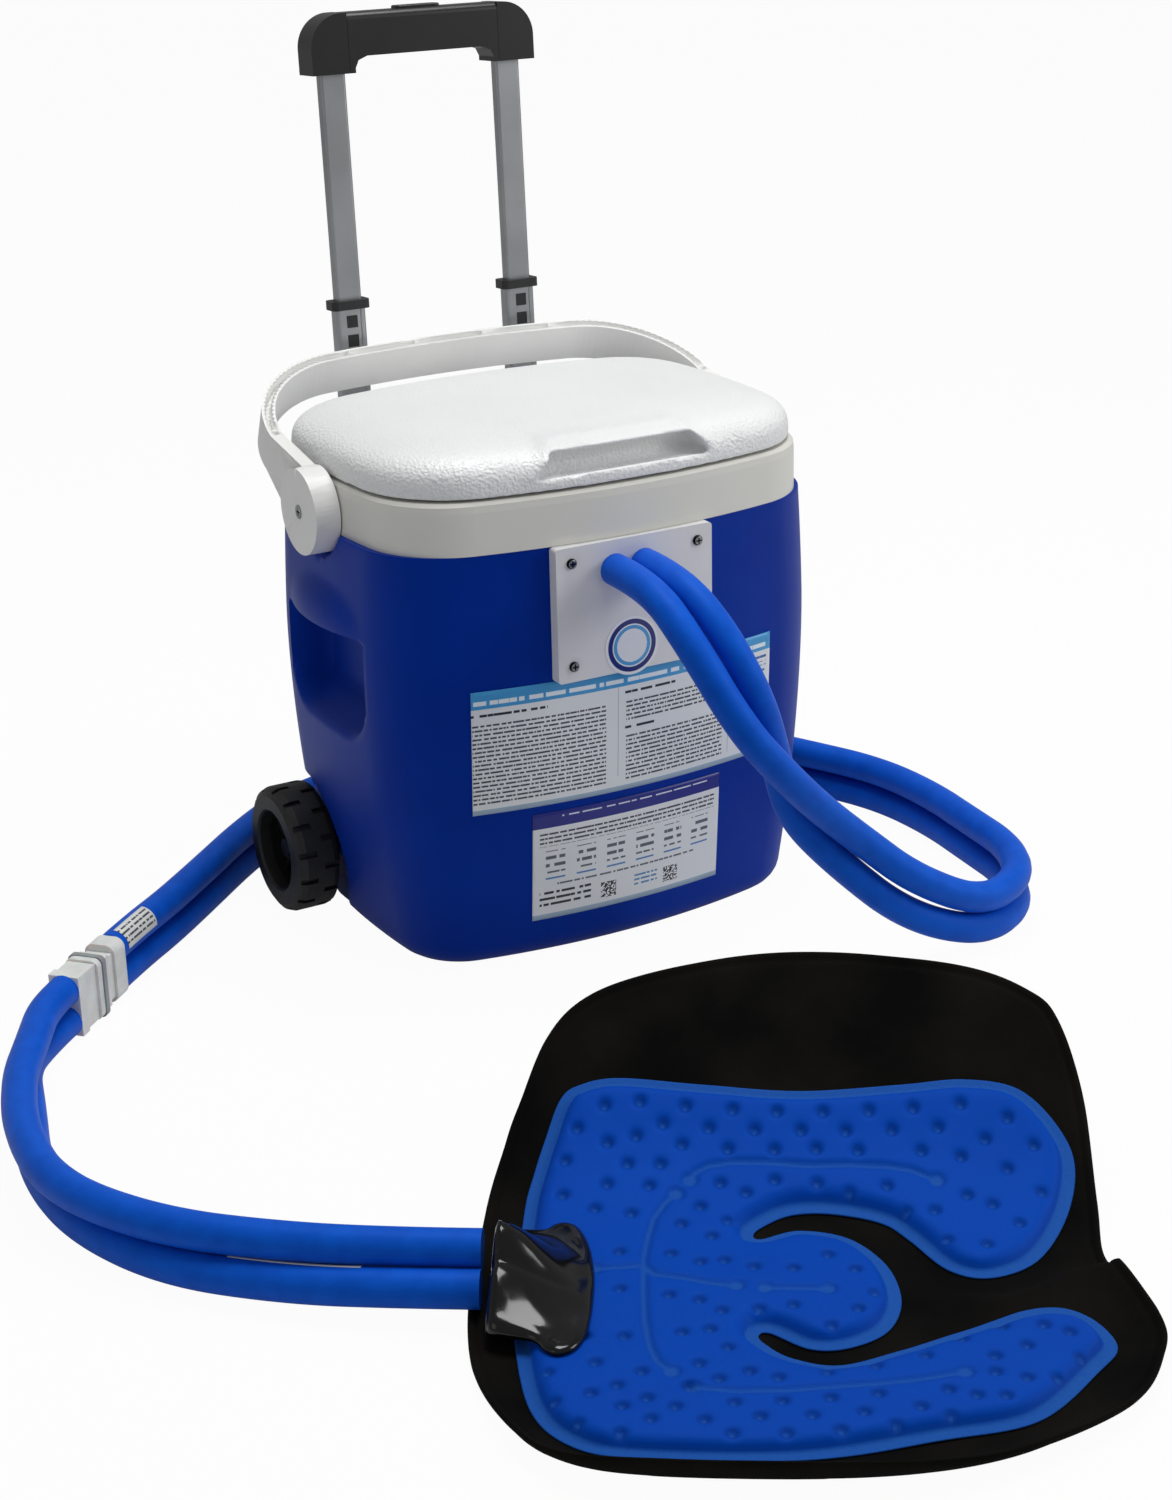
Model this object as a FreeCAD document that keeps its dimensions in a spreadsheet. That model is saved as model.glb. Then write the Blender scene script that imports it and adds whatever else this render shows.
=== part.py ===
"""Hot and cold therapy machine: a wheeled cooler tank with a carry handle and a pull-out
trolley handle, a pump inside, twin hoses, a quick coupling and a quilted water pad."""
import FreeCAD, Part
import math
import os
import Sketcher
from FreeCAD import Placement, Rotation, Vector

DOC = FreeCAD.newDocument("hot_cold_therapy_machine")
SHEET = DOC.addObject("Spreadsheet::Sheet", "Sizes")

# ---------------------------------------------------------------- driving sizes, mm and degrees
TABLE = (
    # tub
    ("tub_half_width", 192, "middle of a side to the centre"),
    ("tub_half_depth", 149, "middle of the front to the centre"),
    ("tub_corner", 73.5, "vertical corner radius"),
    ("side_bow", 699, "radius of the bowed sides"),
    ("front_bow", 617, "radius of the bowed front and back"),
    ("tub_height", 350, "floor to the lower edge of the collar"),
    ("tub_taper", 15, "lean of the walls at the floor"),
    ("taper_top", 260, "height where the lean ends"),
    ("floor_round", 18, "radius round the floor"),
    ("shell_wall", 3, "blow-moulded wall"),
    ("skin_gap", 0.3, "play between moulded skins"),
    # side hand recess and wheel arch
    ("lip_height", 264, "underside of the lifting lip"),
    ("scoop_foot", 168, "lower end of the hand recess"),
    ("scoop_depth", 23, "depth of the hand recess"),
    ("scoop_front", -41, "front end of the hand recess"),
    ("scoop_back", 107, "back end of the hand recess"),
    ("lip_proud", 7, "bulge above the lifting lip"),
    ("arch_play", 6.5, "wheel arch beyond the tyre"),
    ("arch_floor", 173.5, "half width between the wheel arches"),
    # liner and collar
    ("mouth_half_width", 163, "half width of the tank mouth"),
    ("mouth_half_depth", 120, "half depth of the tank mouth"),
    ("mouth_corner", 45, "corner radius of the tank mouth"),
    ("liner_wall", 2.5, "tank liner wall"),
    ("liner_floor", 28, "underside of the tank liner"),
    ("liner_taper", 8, "draft of the liner at its floor"),
    ("collar_height", 41, "rim collar"),
    ("collar_proud", 1.2, "collar beyond the tub"),
    # lid
    ("lid_gap", 2, "shadow gap under the lid"),
    ("lid_rise", 37.5, "lid edge to crown"),
    ("lid_inset", 1, "lid edge inside the tub line"),
    ("lid_corner", 84, "lid corner radius"),
    ("plug_play", 1.7, "plug inside the liner"),
    ("plug_depth", 15, "plug below the collar"),
    ("finger_width", 146, "finger recess at the lid's edge"),
    ("finger_inner", 122, "finger recess at its back wall"),
    ("finger_reach", 119, "back wall of the finger recess to the centre"),
    ("finger_floor", 9.5, "floor of the finger recess above the lid's base"),
    ("hinge_y", 153.5, "lid hinge axis behind the centre"),
    ("hinge_x", 45, "lid hinge knuckle to the centre"),
    ("knuckle_r", 4.6, "hinge knuckle radius"),
    ("knuckle_len", 12, "hinge knuckle length"),
    ("ear_len", 5, "hinge ear length"),
    ("hinge_play", 0.4, "end play of the hinge"),
    ("pin_r", 2, "hinge pin radius"),
    ("pin_fit", 0.05, "running clearance"),
    # carry handle
    ("pivot_y", 4, "carry handle pivot behind the centre"),
    ("pivot_z", 365, "carry handle pivot height"),
    ("bail_tilt", 66.5, "lean of the carry handle at rest"),
    ("bail_height", 180, "pivot to the outside of the grip"),
    ("bail_half_width", 207, "outside of an arm to the centre"),
    ("bail_corner", 99, "outside corner radius"),
    ("bail_crown", 1416, "crown radius of the grip"),
    ("bail_thick", 11, "strap thickness"),
    ("bail_wide", 33, "strap width"),
    ("bail_lip", 3.2, "lip beside the groove"),
    ("bail_groove", 7, "groove depth"),
    ("eye_r", 34.5, "pivot disc radius"),
    ("eye_inner", 193.8, "inner face of the pivot disc"),
    ("eye_outer", 208, "outer face of the pivot disc"),
    ("pivot_r", 4, "pivot screw shank radius"),
    ("pivot_head_r", 5.4, "pivot screw head radius"),
    ("pivot_hold", 22, "pivot screw length in the collar"),
    # front plate, fittings and fasteners
    ("plate_width", 139.7, "front plate width"),
    ("plate_height", 108.5, "front plate height"),
    ("plate_thick", 6, "front plate at its middle"),
    ("plate_x", -3.7, "front plate centre"),
    ("plate_z", 295.45, "front plate centre height"),
    ("screw_x", 56.5, "plate screw beside the plate centre"),
    ("screw_z", 41.5, "plate screw above the plate centre"),
    ("screw_r", 2.1, "plate screw shank"),
    ("screw_head_r", 4.1, "plate screw head"),
    ("screw_length", 22, "plate screw shank length"),
    ("supply_x", -22, "supply hose exit"),
    ("return_x", 4.2, "return hose exit"),
    ("exit_z", 326, "hose exit height"),
    ("fitting_r", 10, "bulkhead fitting radius"),
    ("fitting_reach", 49, "bulkhead fitting length behind the plate face"),
    ("nut_r", 12.4, "bulkhead nut radius"),
    ("nut_thick", 6, "bulkhead nut thickness"),
    ("hose_r", 12.7, "insulated hose radius"),
    ("disc_r", 24, "round sticker radius"),
    ("disc_x", -8, "round sticker centre"),
    ("disc_z", 261.7, "round sticker centre height"),
    ("sticker", 0.4, "sticker thickness"),
    # trolley
    ("trolley_y", 164.5, "tube centre behind the middle at the floor"),
    ("trolley_lean", 2.6, "backward lean of the tubes"),
    ("tube_x", 81, "tube centre to the centre"),
    ("outer_wide", 27, "outer tube width"),
    ("outer_deep", 14, "outer tube depth"),
    ("outer_wall", 1.5, "outer tube wall"),
    ("outer_foot", 62, "outer tube lower end"),
    ("outer_top", 484, "outer tube upper end"),
    ("inner_wide", 23, "inner tube width"),
    ("inner_deep", 10, "inner tube depth"),
    ("inner_wall", 1.2, "inner tube wall"),
    ("inner_foot", 424, "inner tube lower end, pulled out"),
    ("slide_play", 0.2, "play round a sliding tube"),
    ("bush_wide", 34.5, "top bush width"),
    ("bush_deep", 20, "top bush depth"),
    ("bush_low", 479.6, "top bush lower end"),
    ("bush_cap", 3, "top bush above the outer tube"),
    ("window", 10, "latch window width"),
    ("window_tall", 10.4, "latch window height"),
    ("window_top", 474.4, "upper edge of the first latch window"),
    ("window_pitch", 16.2, "latch window spacing"),
    ("bracket_half", 100, "half width of the brackets"),
    ("bracket_back", 11.5, "bracket behind the tube centre"),
    ("bracket_round", 6, "bracket corner radius"),
    ("upper_low", 300, "upper bracket lower face"),
    ("upper_tall", 35, "upper bracket height"),
    ("lower_low", 59, "lower bracket lower face"),
    ("lower_tall", 37, "lower bracket height"),
    ("bolt_x", 30, "bracket bolt to the centre"),
    ("bolt_r", 3, "bracket bolt radius"),
    ("bolt_head_r", 5.5, "bracket bolt head radius"),
    ("bolt_length", 40, "bracket bolt length"),
    # grip
    ("grip_half", 102.4, "half width of the grip"),
    ("grip_foot", 672, "lower end of the grip legs"),
    ("grip_top", 720, "top of the grip"),
    ("grip_under", 685, "underside of the grip bar"),
    ("grip_deep", 28, "grip depth"),
    ("leg_inner", 64, "inner face of the grip legs"),
    ("grip_seam", 69, "seam of the grip to the centre"),
    ("seam_gap", 0.3, "gap at the grip seams"),
    ("grip_round", 28, "outer corner radius of the grip"),
    ("socket_top", 688, "upper end of the inner tube in the grip"),
    ("button_half", 20, "half length of the release button"),
    ("button_deep", 15, "release button depth"),
    ("button_proud", 2.5, "release button above the grip"),
    ("button_tall", 12.5, "release button height"),
    ("button_play", 0.4, "play round the release button"),
    ("press", 5, "release button travel"),
    ("rod_r", 2, "release rod radius"),
    ("rod_foot", 430, "lower end of the release rods"),
    ("yoke_deep", 5, "release yoke depth"),
    ("yoke_tall", 4.5, "release yoke height"),
    # wheels
    ("wheel_r", 54, "tyre radius"),
    ("wheel_inner", 187, "inner face of the wheels to the centre"),
    ("wheel_width", 40, "tyre width"),
    ("wheel_y", 75, "wheel axis behind the centre"),
    ("rim_r", 39.8, "wheel rim radius"),
    ("rim_gap", 0.2, "tyre on the rim"),
    ("dish_r", 34, "opening of the tyre"),
    ("lug_depth", 3.5, "tread groove depth"),
    ("lug_slot", 5, "tread groove width"),
    ("axle_r", 5, "axle radius"),
    ("axle_length", 28, "axle beyond the wheel's inner face"),
    ("axle_flange", 15, "axle flange radius"),
    ("hub_r", 10, "hub boss radius"),
    ("cap_r", 8, "axle cap radius"),
    # pump
    ("pump_half", 34, "pump half width"),
    ("pump_back", 28, "pump half depth"),
    ("pump_low", 36, "pump underside"),
    ("pump_tall", 44, "pump height"),
    ("pump_y", -62, "pump and riser centre"),
    ("strainer_thick", 5, "strainer thickness"),
    ("impeller_r", 15, "impeller radius"),
    ("impeller_tall", 10, "impeller height"),
    ("shaft_r", 1.5, "pump shaft radius"),
    ("riser_r", 6, "inner tube radius in the tank"),
    ("riser_bend", 24, "inner tube bend radius"),
    # coupling
    ("coupling_half", 37.5, "half length of the coupling"),
    ("upper_hose", 39, "upper hose centre height"),
    ("lower_hose", 12.9, "lower hose centre height"),
    ("nozzle_r", 4.5, "coupling nozzle radius"),
    ("latch_thick", 5, "coupling latch thickness"),
    ("latch_travel", 3, "coupling latch travel"),
    ("latch_gap", 0.4, "play beside the coupling latch"),
    # pad
    ("wrap_thick", 6, "wrap thickness"),
    ("bladder_thick", 9.6, "bladder thickness"),
    ("pad_gap", 0.4, "gap between pad layers"),
    ("pad_rest", 190, "flat part of the pad"),
    ("pad_back_bend", 250, "radius of the raised back"),
    ("pad_front_bend", 80, "radius of the raised front"),
    ("pad_rise", 30, "slope of the raised ends"),
    ("cover_left", -157.4, "hose end of the pad cover"),
)

for row, (alias, value, note) in enumerate(TABLE, 1):
    SHEET.set("A%d" % row, alias)
    SHEET.set("B%d" % row, str(value))
    SHEET.set("C%d" % row, note)
    SHEET.setAlias("B%d" % row, alias)
DOC.recompute()


class Size:
    """A size: its number, and the spreadsheet expression that drives it."""

    def __init__(self, number, text):
        self.number = float(number)
        self.text = text

    def __float__(self):
        return self.number

    def __neg__(self):
        return Size(-self.number, "(0 - %s)" % self.text)

    def __add__(self, other):
        return Size(self.number + float(other), "(%s + %s)" % (self.text, text_of(other)))

    def __radd__(self, other):
        return Size(float(other) + self.number, "(%s + %s)" % (text_of(other), self.text))

    def __sub__(self, other):
        return Size(self.number - float(other), "(%s - %s)" % (self.text, text_of(other)))

    def __rsub__(self, other):
        return Size(float(other) - self.number, "(%s - %s)" % (text_of(other), self.text))

    def __mul__(self, other):
        return Size(self.number * float(other), "(%s * %s)" % (self.text, text_of(other)))

    def __rmul__(self, other):
        return self * other

    def __truediv__(self, other):
        return Size(self.number / float(other), "(%s / %s)" % (self.text, text_of(other)))


def text_of(value):
    """The expression of a size, or a plain number in brackets."""
    return value.text if isinstance(value, Size) else "(%.9f)" % float(value)


class Cells:
    """Read the sheet's cells by alias."""

    def __getattr__(self, alias):
        return Size(getattr(SHEET, alias), "Sizes." + alias)


S = Cells()
NODES = []


def node(thing, label):
    """Name a finished piece and list it for export."""
    thing.Label = label
    NODES.append(thing)
    return thing


# ---------------------------------------------------------------- modelling helpers
def bind(thing, name, value):
    """Set a property, driven by the sheet where the value is a Size."""
    if isinstance(value, Size):
        thing.setExpression(name, value.text)
    else:
        setattr(thing, name, value)


def new_body(name, placement=None):
    """An empty body, optionally placed in another frame."""
    body = DOC.addObject("PartDesign::Body", name)
    if placement is not None:
        body.Placement = placement
    return body


def sketch_on(body, plane, level):
    """A sketch on an origin plane of the body, lifted along the plane's normal."""
    sketch = body.newObject("Sketcher::SketchObject", body.Name + "_sketch")
    support = [item for item in body.Origin.OriginFeatures if item.Role == plane][0]
    sketch.AttachmentSupport = [(support, "")]
    sketch.MapMode = "FlatFace"
    sketch.AttachmentOffset = Placement(Vector(0, 0, float(level)), Rotation())
    if isinstance(level, Size):
        sketch.setExpression("AttachmentOffset.Base.z", level.text)
    return sketch


def hold(sketch, geometry, end, kind, value):
    """Fix one coordinate of a sketch point from the origin."""
    if abs(float(value)) < 1e-9:
        axis = -2 if kind == "DistanceX" else -1
        sketch.addConstraint(Sketcher.Constraint("PointOnObject", geometry, end, axis))
        return
    number = sketch.addConstraint(Sketcher.Constraint(kind, -1, 1, geometry, end, float(value)))
    if isinstance(value, Size):
        sketch.setExpression("Constraints[%d]" % number, value.text)


def draw_loop(sketch, points):
    """A closed polygon whose corners are fixed by dimensions."""
    first = sketch.GeometryCount
    count = len(points)
    spots = [Vector(float(x), float(y), 0) for x, y in points]
    for i in range(count):
        sketch.addGeometry(Part.LineSegment(spots[i], spots[(i + 1) % count]), False)
    for i in range(count):
        following = first + (i + 1) % count
        sketch.addConstraint(Sketcher.Constraint("Coincident", first + i, 2, following, 1))
    for i, (x, y) in enumerate(points):
        hold(sketch, first + i, 1, "DistanceX", x)
        hold(sketch, first + i, 1, "DistanceY", y)


def draw_circle(sketch, x, y, radius):
    """A circle fixed by its centre and radius."""
    centre = Vector(float(x), float(y), 0)
    ring = sketch.addGeometry(Part.Circle(centre, Vector(0, 0, 1), float(radius)), False)
    hold(sketch, ring, 3, "DistanceX", x)
    hold(sketch, ring, 3, "DistanceY", y)
    number = sketch.addConstraint(Sketcher.Constraint("Radius", ring, float(radius)))
    if isinstance(radius, Size):
        sketch.setExpression("Constraints[%d]" % number, radius.text)


def draw(sketch, outlines):
    """Draw polygons (lists of points) and circles (x, y, radius)."""
    for outline in outlines:
        if isinstance(outline, tuple):
            draw_circle(sketch, *outline)
        else:
            draw_loop(sketch, outline)


def box(x0, x1, y0, y1):
    """Corner points of a rectangle."""
    return [(x0, y0), (x1, y0), (x1, y1), (x0, y1)]


def add_feature(body, kind, sketch):
    """A sketch-based feature that becomes the body's tip."""
    feature = body.newObject("PartDesign::" + kind, body.Name + "_" + kind.lower())
    if sketch is not None:
        feature.Profile = sketch
        sketch.Visibility = False
    body.Tip = feature
    return feature


def pad(body, plane, low, high, *outlines):
    """Material between two levels along an origin plane's axis."""
    sketch = sketch_on(body, plane, -high if plane == "XZ_Plane" else low)
    draw(sketch, outlines)
    feature = add_feature(body, "Pad", sketch)
    bind(feature, "Length", high - low)
    return feature


def pocket(body, plane, low, high, *outlines):
    """Remove material between two levels along an origin plane's axis."""
    sketch = sketch_on(body, plane, -low if plane == "XZ_Plane" else high)
    draw(sketch, outlines)
    feature = add_feature(body, "Pocket", sketch)
    bind(feature, "Length", high - low)
    return feature


def revolve(body, outline, axis="H_Axis", kind="Revolution"):
    """Turn an outline in the XZ plane about one of its axes."""
    sketch = sketch_on(body, "XZ_Plane", 0)
    draw(sketch, [outline])
    feature = add_feature(body, kind, sketch)
    feature.ReferenceAxis = (sketch, [axis])
    feature.Angle = 360
    return feature


def repeat_round(body, feature, role, count):
    """Repeat a feature evenly round an axis of the body."""
    DOC.recompute()
    axis = [item for item in body.Origin.OriginFeatures if item.Role == role][0]
    pattern = add_feature(body, "PolarPattern", None)
    pattern.Originals = [feature]
    pattern.Axis = (axis, [""])
    pattern.Angle = 360
    pattern.Occurrences = count
    return pattern


def round_off(body, radius, wanted):
    """Round the tip's edges that pass a test."""
    DOC.recompute()
    base = body.Tip
    edges = ["Edge%d" % (i + 1) for i, edge in enumerate(base.Shape.Edges) if wanted(edge)]
    feature = add_feature(body, "Fillet", None)
    feature.Base = (base, edges)
    bind(feature, "Radius", radius)
    return feature


def along(edge, axis):
    """True for a straight edge parallel to an axis, 0 to 2."""
    if not isinstance(edge.Curve, Part.Line):
        return False
    way = edge.Vertexes[-1].Point - edge.Vertexes[0].Point
    return abs(way[axis]) > 0.999 * way.Length


def middle(edge, axis):
    """One coordinate of an edge's middle."""
    return edge.CenterOfMass[axis]


def trim(name, base, tool):
    """A piece with another shape taken off."""
    result = DOC.addObject("Part::Cut", name)
    result.Base = base
    result.Tool = tool
    return result


def shape(name, solid):
    """A document object that holds a shape made in code."""
    item = DOC.addObject("Part::Feature", name)
    item.Shape = solid
    return item


def cylinder(x, y, z, radius, length, way):
    """A solid cylinder from a point along a direction."""
    return Part.makeCylinder(float(radius), float(length), Vector(float(x), float(y), float(z)), way)


def prism(points, start, length, plane):
    """Extrude a polygon: XY along Z, XZ along Y, YZ along X."""
    place = {
        "XY": lambda p, q: Vector(p, q, start),
        "XZ": lambda p, q: Vector(p, start, q),
        "YZ": lambda p, q: Vector(start, p, q),
    }[plane]
    way = {"XY": Vector(0, 0, 1), "XZ": Vector(0, 1, 0), "YZ": Vector(1, 0, 0)}[plane]
    spots = [place(float(p), float(q)) for p, q in points]
    return Part.Face(Part.makePolygon(spots + [spots[0]])).extrude(way * length)


# ---------------------------------------------------------------- bowed rectangles
def bowed_wire(half_width, half_depth, corner, side_bow, front_bow, z):
    """A rectangle with bowed sides and tangent corner arcs, as eight arcs."""
    front = Vector(0, half_depth - front_bow, 0)
    side = Vector(half_width - side_bow, 0, 0)
    reach_front = front_bow - corner
    reach_side = side_bow - corner
    span = side - front
    along_span = (reach_front ** 2 - reach_side ** 2 + span.Length ** 2) / (2 * span.Length)
    off_span = math.sqrt(reach_front ** 2 - along_span ** 2)
    unit = span / span.Length
    centre = front + unit * along_span + Vector(-unit.y, unit.x, 0) * off_span
    if centre.x < 0 or centre.y < 0:
        centre = front + unit * along_span - Vector(-unit.y, unit.x, 0) * off_span
    on_front = front + (centre - front).normalize() * front_bow
    on_side = side + (centre - side).normalize() * side_bow
    bend = centre + ((on_front + on_side) / 2 - centre).normalize() * corner
    arcs = []
    quarter = ((1, 1), (-1, 1), (-1, -1), (1, -1))
    for turn, (sx, sy) in enumerate(quarter):
        first, last = (on_side, on_front) if turn % 2 == 0 else (on_front, on_side)
        ends = [Vector(sx * p.x, sy * p.y, z) for p in (first, bend, last)]
        arcs.append(Part.Arc(*ends).toShape())
        nx, ny = quarter[(turn + 1) % 4]
        meet = Vector(nx * last.x, ny * last.y, z)
        mid = Vector(0, sy * half_depth, z) if turn % 2 == 0 else Vector(sx * half_width, 0, z)
        arcs.append(Part.Arc(ends[2], mid, meet).toShape())
    return Part.Wire(arcs)


def tub_inset(z):
    """How far the tub wall stands inside its rim line at a height."""
    height = float(S.taper_top)
    inset = float(S.tub_taper) * max(0.0, 1 - z / height) ** 1.5
    turn = float(S.floor_round)
    if z < turn:
        inset += turn - math.sqrt(turn ** 2 - (turn - z) ** 2)
    return inset


def tub_wire(z, inset, corner=None):
    """The tub's outline at a height, moved inward, with another corner if asked."""
    if corner is None:
        corner = max(float(S.tub_corner) - inset, 20.0)
    return bowed_wire(
        float(S.tub_half_width) - inset,
        float(S.tub_half_depth) - inset,
        corner,
        float(S.side_bow) - inset,
        float(S.front_bow) - inset,
        z,
    )


def tub_solid(inset):
    """The tub's outer form, all walls moved inward by an inset."""
    turn = float(S.floor_round)
    taper_top = float(S.taper_top)
    levels = [turn * (1 - math.cos(math.radians(angle))) for angle in (0, 18, 36, 54, 72, 90)]
    levels += [taper_top * share for share in (0.16, 0.28, 0.42, 0.58, 0.76)]
    levels += [taper_top, float(S.tub_height) - inset]
    wires = [tub_wire(level + inset, tub_inset(level) + inset) for level in levels]
    return Part.makeLoft(wires, True, True)


def liner_wire(z, inset):
    """The tank's outline at a height, moved inward."""
    top = float(S.tub_height + S.collar_height)
    bottom = float(S.liner_floor)
    inset += float(S.liner_taper) * (top - z) / (top - bottom)
    return bowed_wire(
        float(S.mouth_half_width) - inset,
        float(S.mouth_half_depth) - inset,
        float(S.mouth_corner) - inset / 2,
        float(S.side_bow) - inset,
        float(S.front_bow) - inset,
        z,
    )


def liner_solid(inset, rise):
    """The tank's form, walls moved inward and floor lifted."""
    low = float(S.liner_floor) + rise
    top = float(S.tub_height + S.collar_height)
    levels = ((low, inset + 10), (low + 3, inset + 4), (low + 10, inset), (top, inset))
    return Part.makeLoft([liner_wire(z, extra) for z, extra in levels], True, True)


# ---------------------------------------------------------------- tub
def hand_recess(side, grow):
    """Scoop under the lifting lip, deepest at the lip and running out below."""
    outer = float(S.tub_half_width) + 20
    deep = float(S.tub_half_width - S.scoop_depth) - grow
    lip = float(S.lip_height) + grow
    foot = float(S.scoop_foot) - grow
    points = ((outer, lip), (deep, lip), (deep, lip - 36), (float(S.tub_half_width) - 3, foot), (outer, foot))
    points = [(side * x, z) for x, z in points]
    start = float(S.scoop_front) - grow
    tool = prism(points, start, float(S.scoop_back - S.scoop_front) + 2 * grow, "XZ")
    ends = [
        edge
        for edge in tool.Edges
        if abs(abs(middle(edge, 0)) - deep) < 0.01 and along(edge, 2)
    ]
    return tool.makeFillet(14, ends)


def wheel_arch(side, grow):
    """Round hollow beside the wheel."""
    floor = float(S.arch_floor) - grow
    radius = float(S.wheel_r + S.arch_play) + grow
    start = side * floor
    return cylinder(start, S.wheel_y, S.wheel_r, radius, 60, Vector(side, 0, 0))


def lip_bulge(side):
    """Rounded band above the hand recess."""
    half = float(S.tub_half_width)
    proud = float(S.lip_proud)
    lip = float(S.lip_height)
    top = float(S.pivot_z - S.eye_r) - 2.5
    section = ((half - 32, lip), (half + proud, lip), (half + proud, top - 26), (half - 1, top), (half - 32, top))
    band = prism([(side * x, z) for x, z in section], -40, 160, "XZ")
    plan = (
        (half - 32, -30), (half - 1, -30), (half + proud, -10),
        (half + proud, 84), (half - 14, 108), (half - 32, 108),
    )
    ends = prism([(side * x, y) for x, y in plan], lip - 5, 100, "XY")
    return band.common(ends).common(tub_solid(-proud))


def through_holes(play):
    """Fitting, screw and bolt holes through the tub wall."""
    back = Vector(0, 1, 0)
    face = -float(S.tub_half_depth + S.plate_thick)
    drills = []
    for x in (S.supply_x, S.return_x):
        drills.append(cylinder(x, face, S.exit_z, S.fitting_r + play, 60, back))
    for x, z in plate_screw_spots():
        drills.append(cylinder(x, face, z, S.screw_r + play, S.screw_length + 1, back))
    for spot, way in bolt_lines():
        drills.append(Part.makeCylinder(float(S.bolt_r) + play, float(S.bolt_length) + 1, spot, way))
    gland = float(S.tub_half_depth) - 20
    drills.append(cylinder(0, gland, S.exit_z - 80, 6 + play, 40, back))
    return drills


def plate_screw_spots():
    """Centres of the four plate screws."""
    return [
        (S.plate_x + sx * S.screw_x, S.plate_z + sz * S.screw_z)
        for sx in (-1, 1)
        for sz in (-1, 1)
    ]


TROLLEY = Placement(
    Vector(0, float(S.trolley_y), 0), Rotation(Vector(1, 0, 0), -float(S.trolley_lean))
)


def bolt_lines():
    """Start point and direction of each bracket bolt."""
    lines = []
    forward = TROLLEY.Rotation.multVec(Vector(0, -1, 0))
    for z in (S.upper_low + S.upper_tall / 2, S.lower_low + S.lower_tall / 2):
        for sx in (-1, 1):
            local = Vector(sx * float(S.bolt_x), -float(S.outer_deep) / 2 - 3, float(z))
            lines.append((TROLLEY.multVec(local), forward))
    return lines


def make_tub():
    """Blow-moulded shell with hand recesses, wheel arches and lifting lips."""
    wall = float(S.shell_wall)
    outer = tub_solid(0)
    inner = tub_solid(wall)
    for side in (-1, 1):
        outer = outer.fuse(lip_bulge(side))
        outer = outer.cut(hand_recess(side, 0)).cut(wheel_arch(side, 0))
        inner = inner.cut(hand_recess(side, wall)).cut(wheel_arch(side, wall))
    shell = outer.cut(inner)
    for drill in through_holes(0.2):
        shell = shell.cut(drill)
    node(shape("tub_shell_form", shell), "tub_shell")

    gap = wall + float(S.skin_gap)
    foam = tub_solid(gap)
    for side in (-1, 1):
        foam = foam.cut(hand_recess(side, gap)).cut(wheel_arch(side, gap))
    foam = foam.cut(liner_solid(0, -float(S.skin_gap)))
    for drill in through_holes(0.2):
        foam = foam.cut(drill)
    node(shape("foam_form", foam), "insulation_foam")

    gap = float(S.skin_gap)
    tank = liner_solid(gap, 0).cut(liner_solid(gap + float(S.liner_wall), float(S.liner_wall)))
    back = Vector(0, 1, 0)
    for x in (S.supply_x, S.return_x):
        tank = tank.cut(cylinder(x, -S.tub_half_depth, S.exit_z, S.fitting_r + 0.2, 60, back))
    node(shape("liner_form", tank), "tank_liner")


# ---------------------------------------------------------------- collar and lid
def rim_top():
    """Height of the collar's top."""
    return S.tub_height + S.collar_height


def hinge_height():
    """Height of the lid's hinge axis."""
    return rim_top() + S.lid_gap


def make_collar():
    """White rim collar with hinge ears and pivot bores."""
    low = float(S.tub_height)
    top = float(rim_top())
    proud = float(S.collar_proud)
    sections = ((low, -proud), (top - 8, 0.2 - proud), (top - 2.5, 0.8 - proud), (top, 3 - proud))
    ring = Part.makeLoft([tub_wire(z, inset) for z, inset in sections], True, True)
    mouth = bowed_wire(
        float(S.mouth_half_width), float(S.mouth_half_depth), float(S.mouth_corner),
        float(S.side_bow), float(S.front_bow), low - 1,
    )
    ring = ring.cut(Part.Face(mouth).extrude(Vector(0, 0, top - low + 2)))
    axis_y = float(S.hinge_y)
    axis_z = float(hinge_height())
    radius = float(S.knuckle_r)
    for sx in (-1, 1):
        for offset in (-1, 1):
            inside = float(S.knuckle_len / 2 + S.hinge_play)
            start = sx * float(S.hinge_x) + (inside if offset > 0 else -inside - float(S.ear_len))
            ear = cylinder(start, axis_y, axis_z, radius, S.ear_len, Vector(1, 0, 0))
            leg = Part.makeBox(
                float(S.ear_len), radius + 8, axis_z - low - 28,
                Vector(start, axis_y - 8, low + 28),
            )
            roof = Part.makeBox(float(S.ear_len), 12, 20, Vector(start, axis_y - 16.6, axis_z - 2.6))
            leg = leg.cut(roof)
            ring = ring.fuse(ear).fuse(leg)
            bore = cylinder(start - 1, axis_y, axis_z, S.pin_r + S.pin_fit, S.ear_len + 2, Vector(1, 0, 0))
            ring = ring.cut(bore)
    for side in (-1, 1):
        start = side * (float(S.eye_inner) - float(S.pivot_hold))
        bore = cylinder(start, S.pivot_y, S.pivot_z, S.pivot_r + 0.05, 40, Vector(side, 0, 0))
        ring = ring.cut(bore)
    node(shape("collar_form", ring.removeSplitter()), "collar")


LID_PROFILE = (
    (0, 0), (0.28, 0.4), (0.42, 1.6), (0.54, 4), (0.65, 8), (0.75, 14.5), (0.83, 24),
    (0.9, 37), (0.955, 58), (0.988, 80), (1, 104),
)


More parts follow.
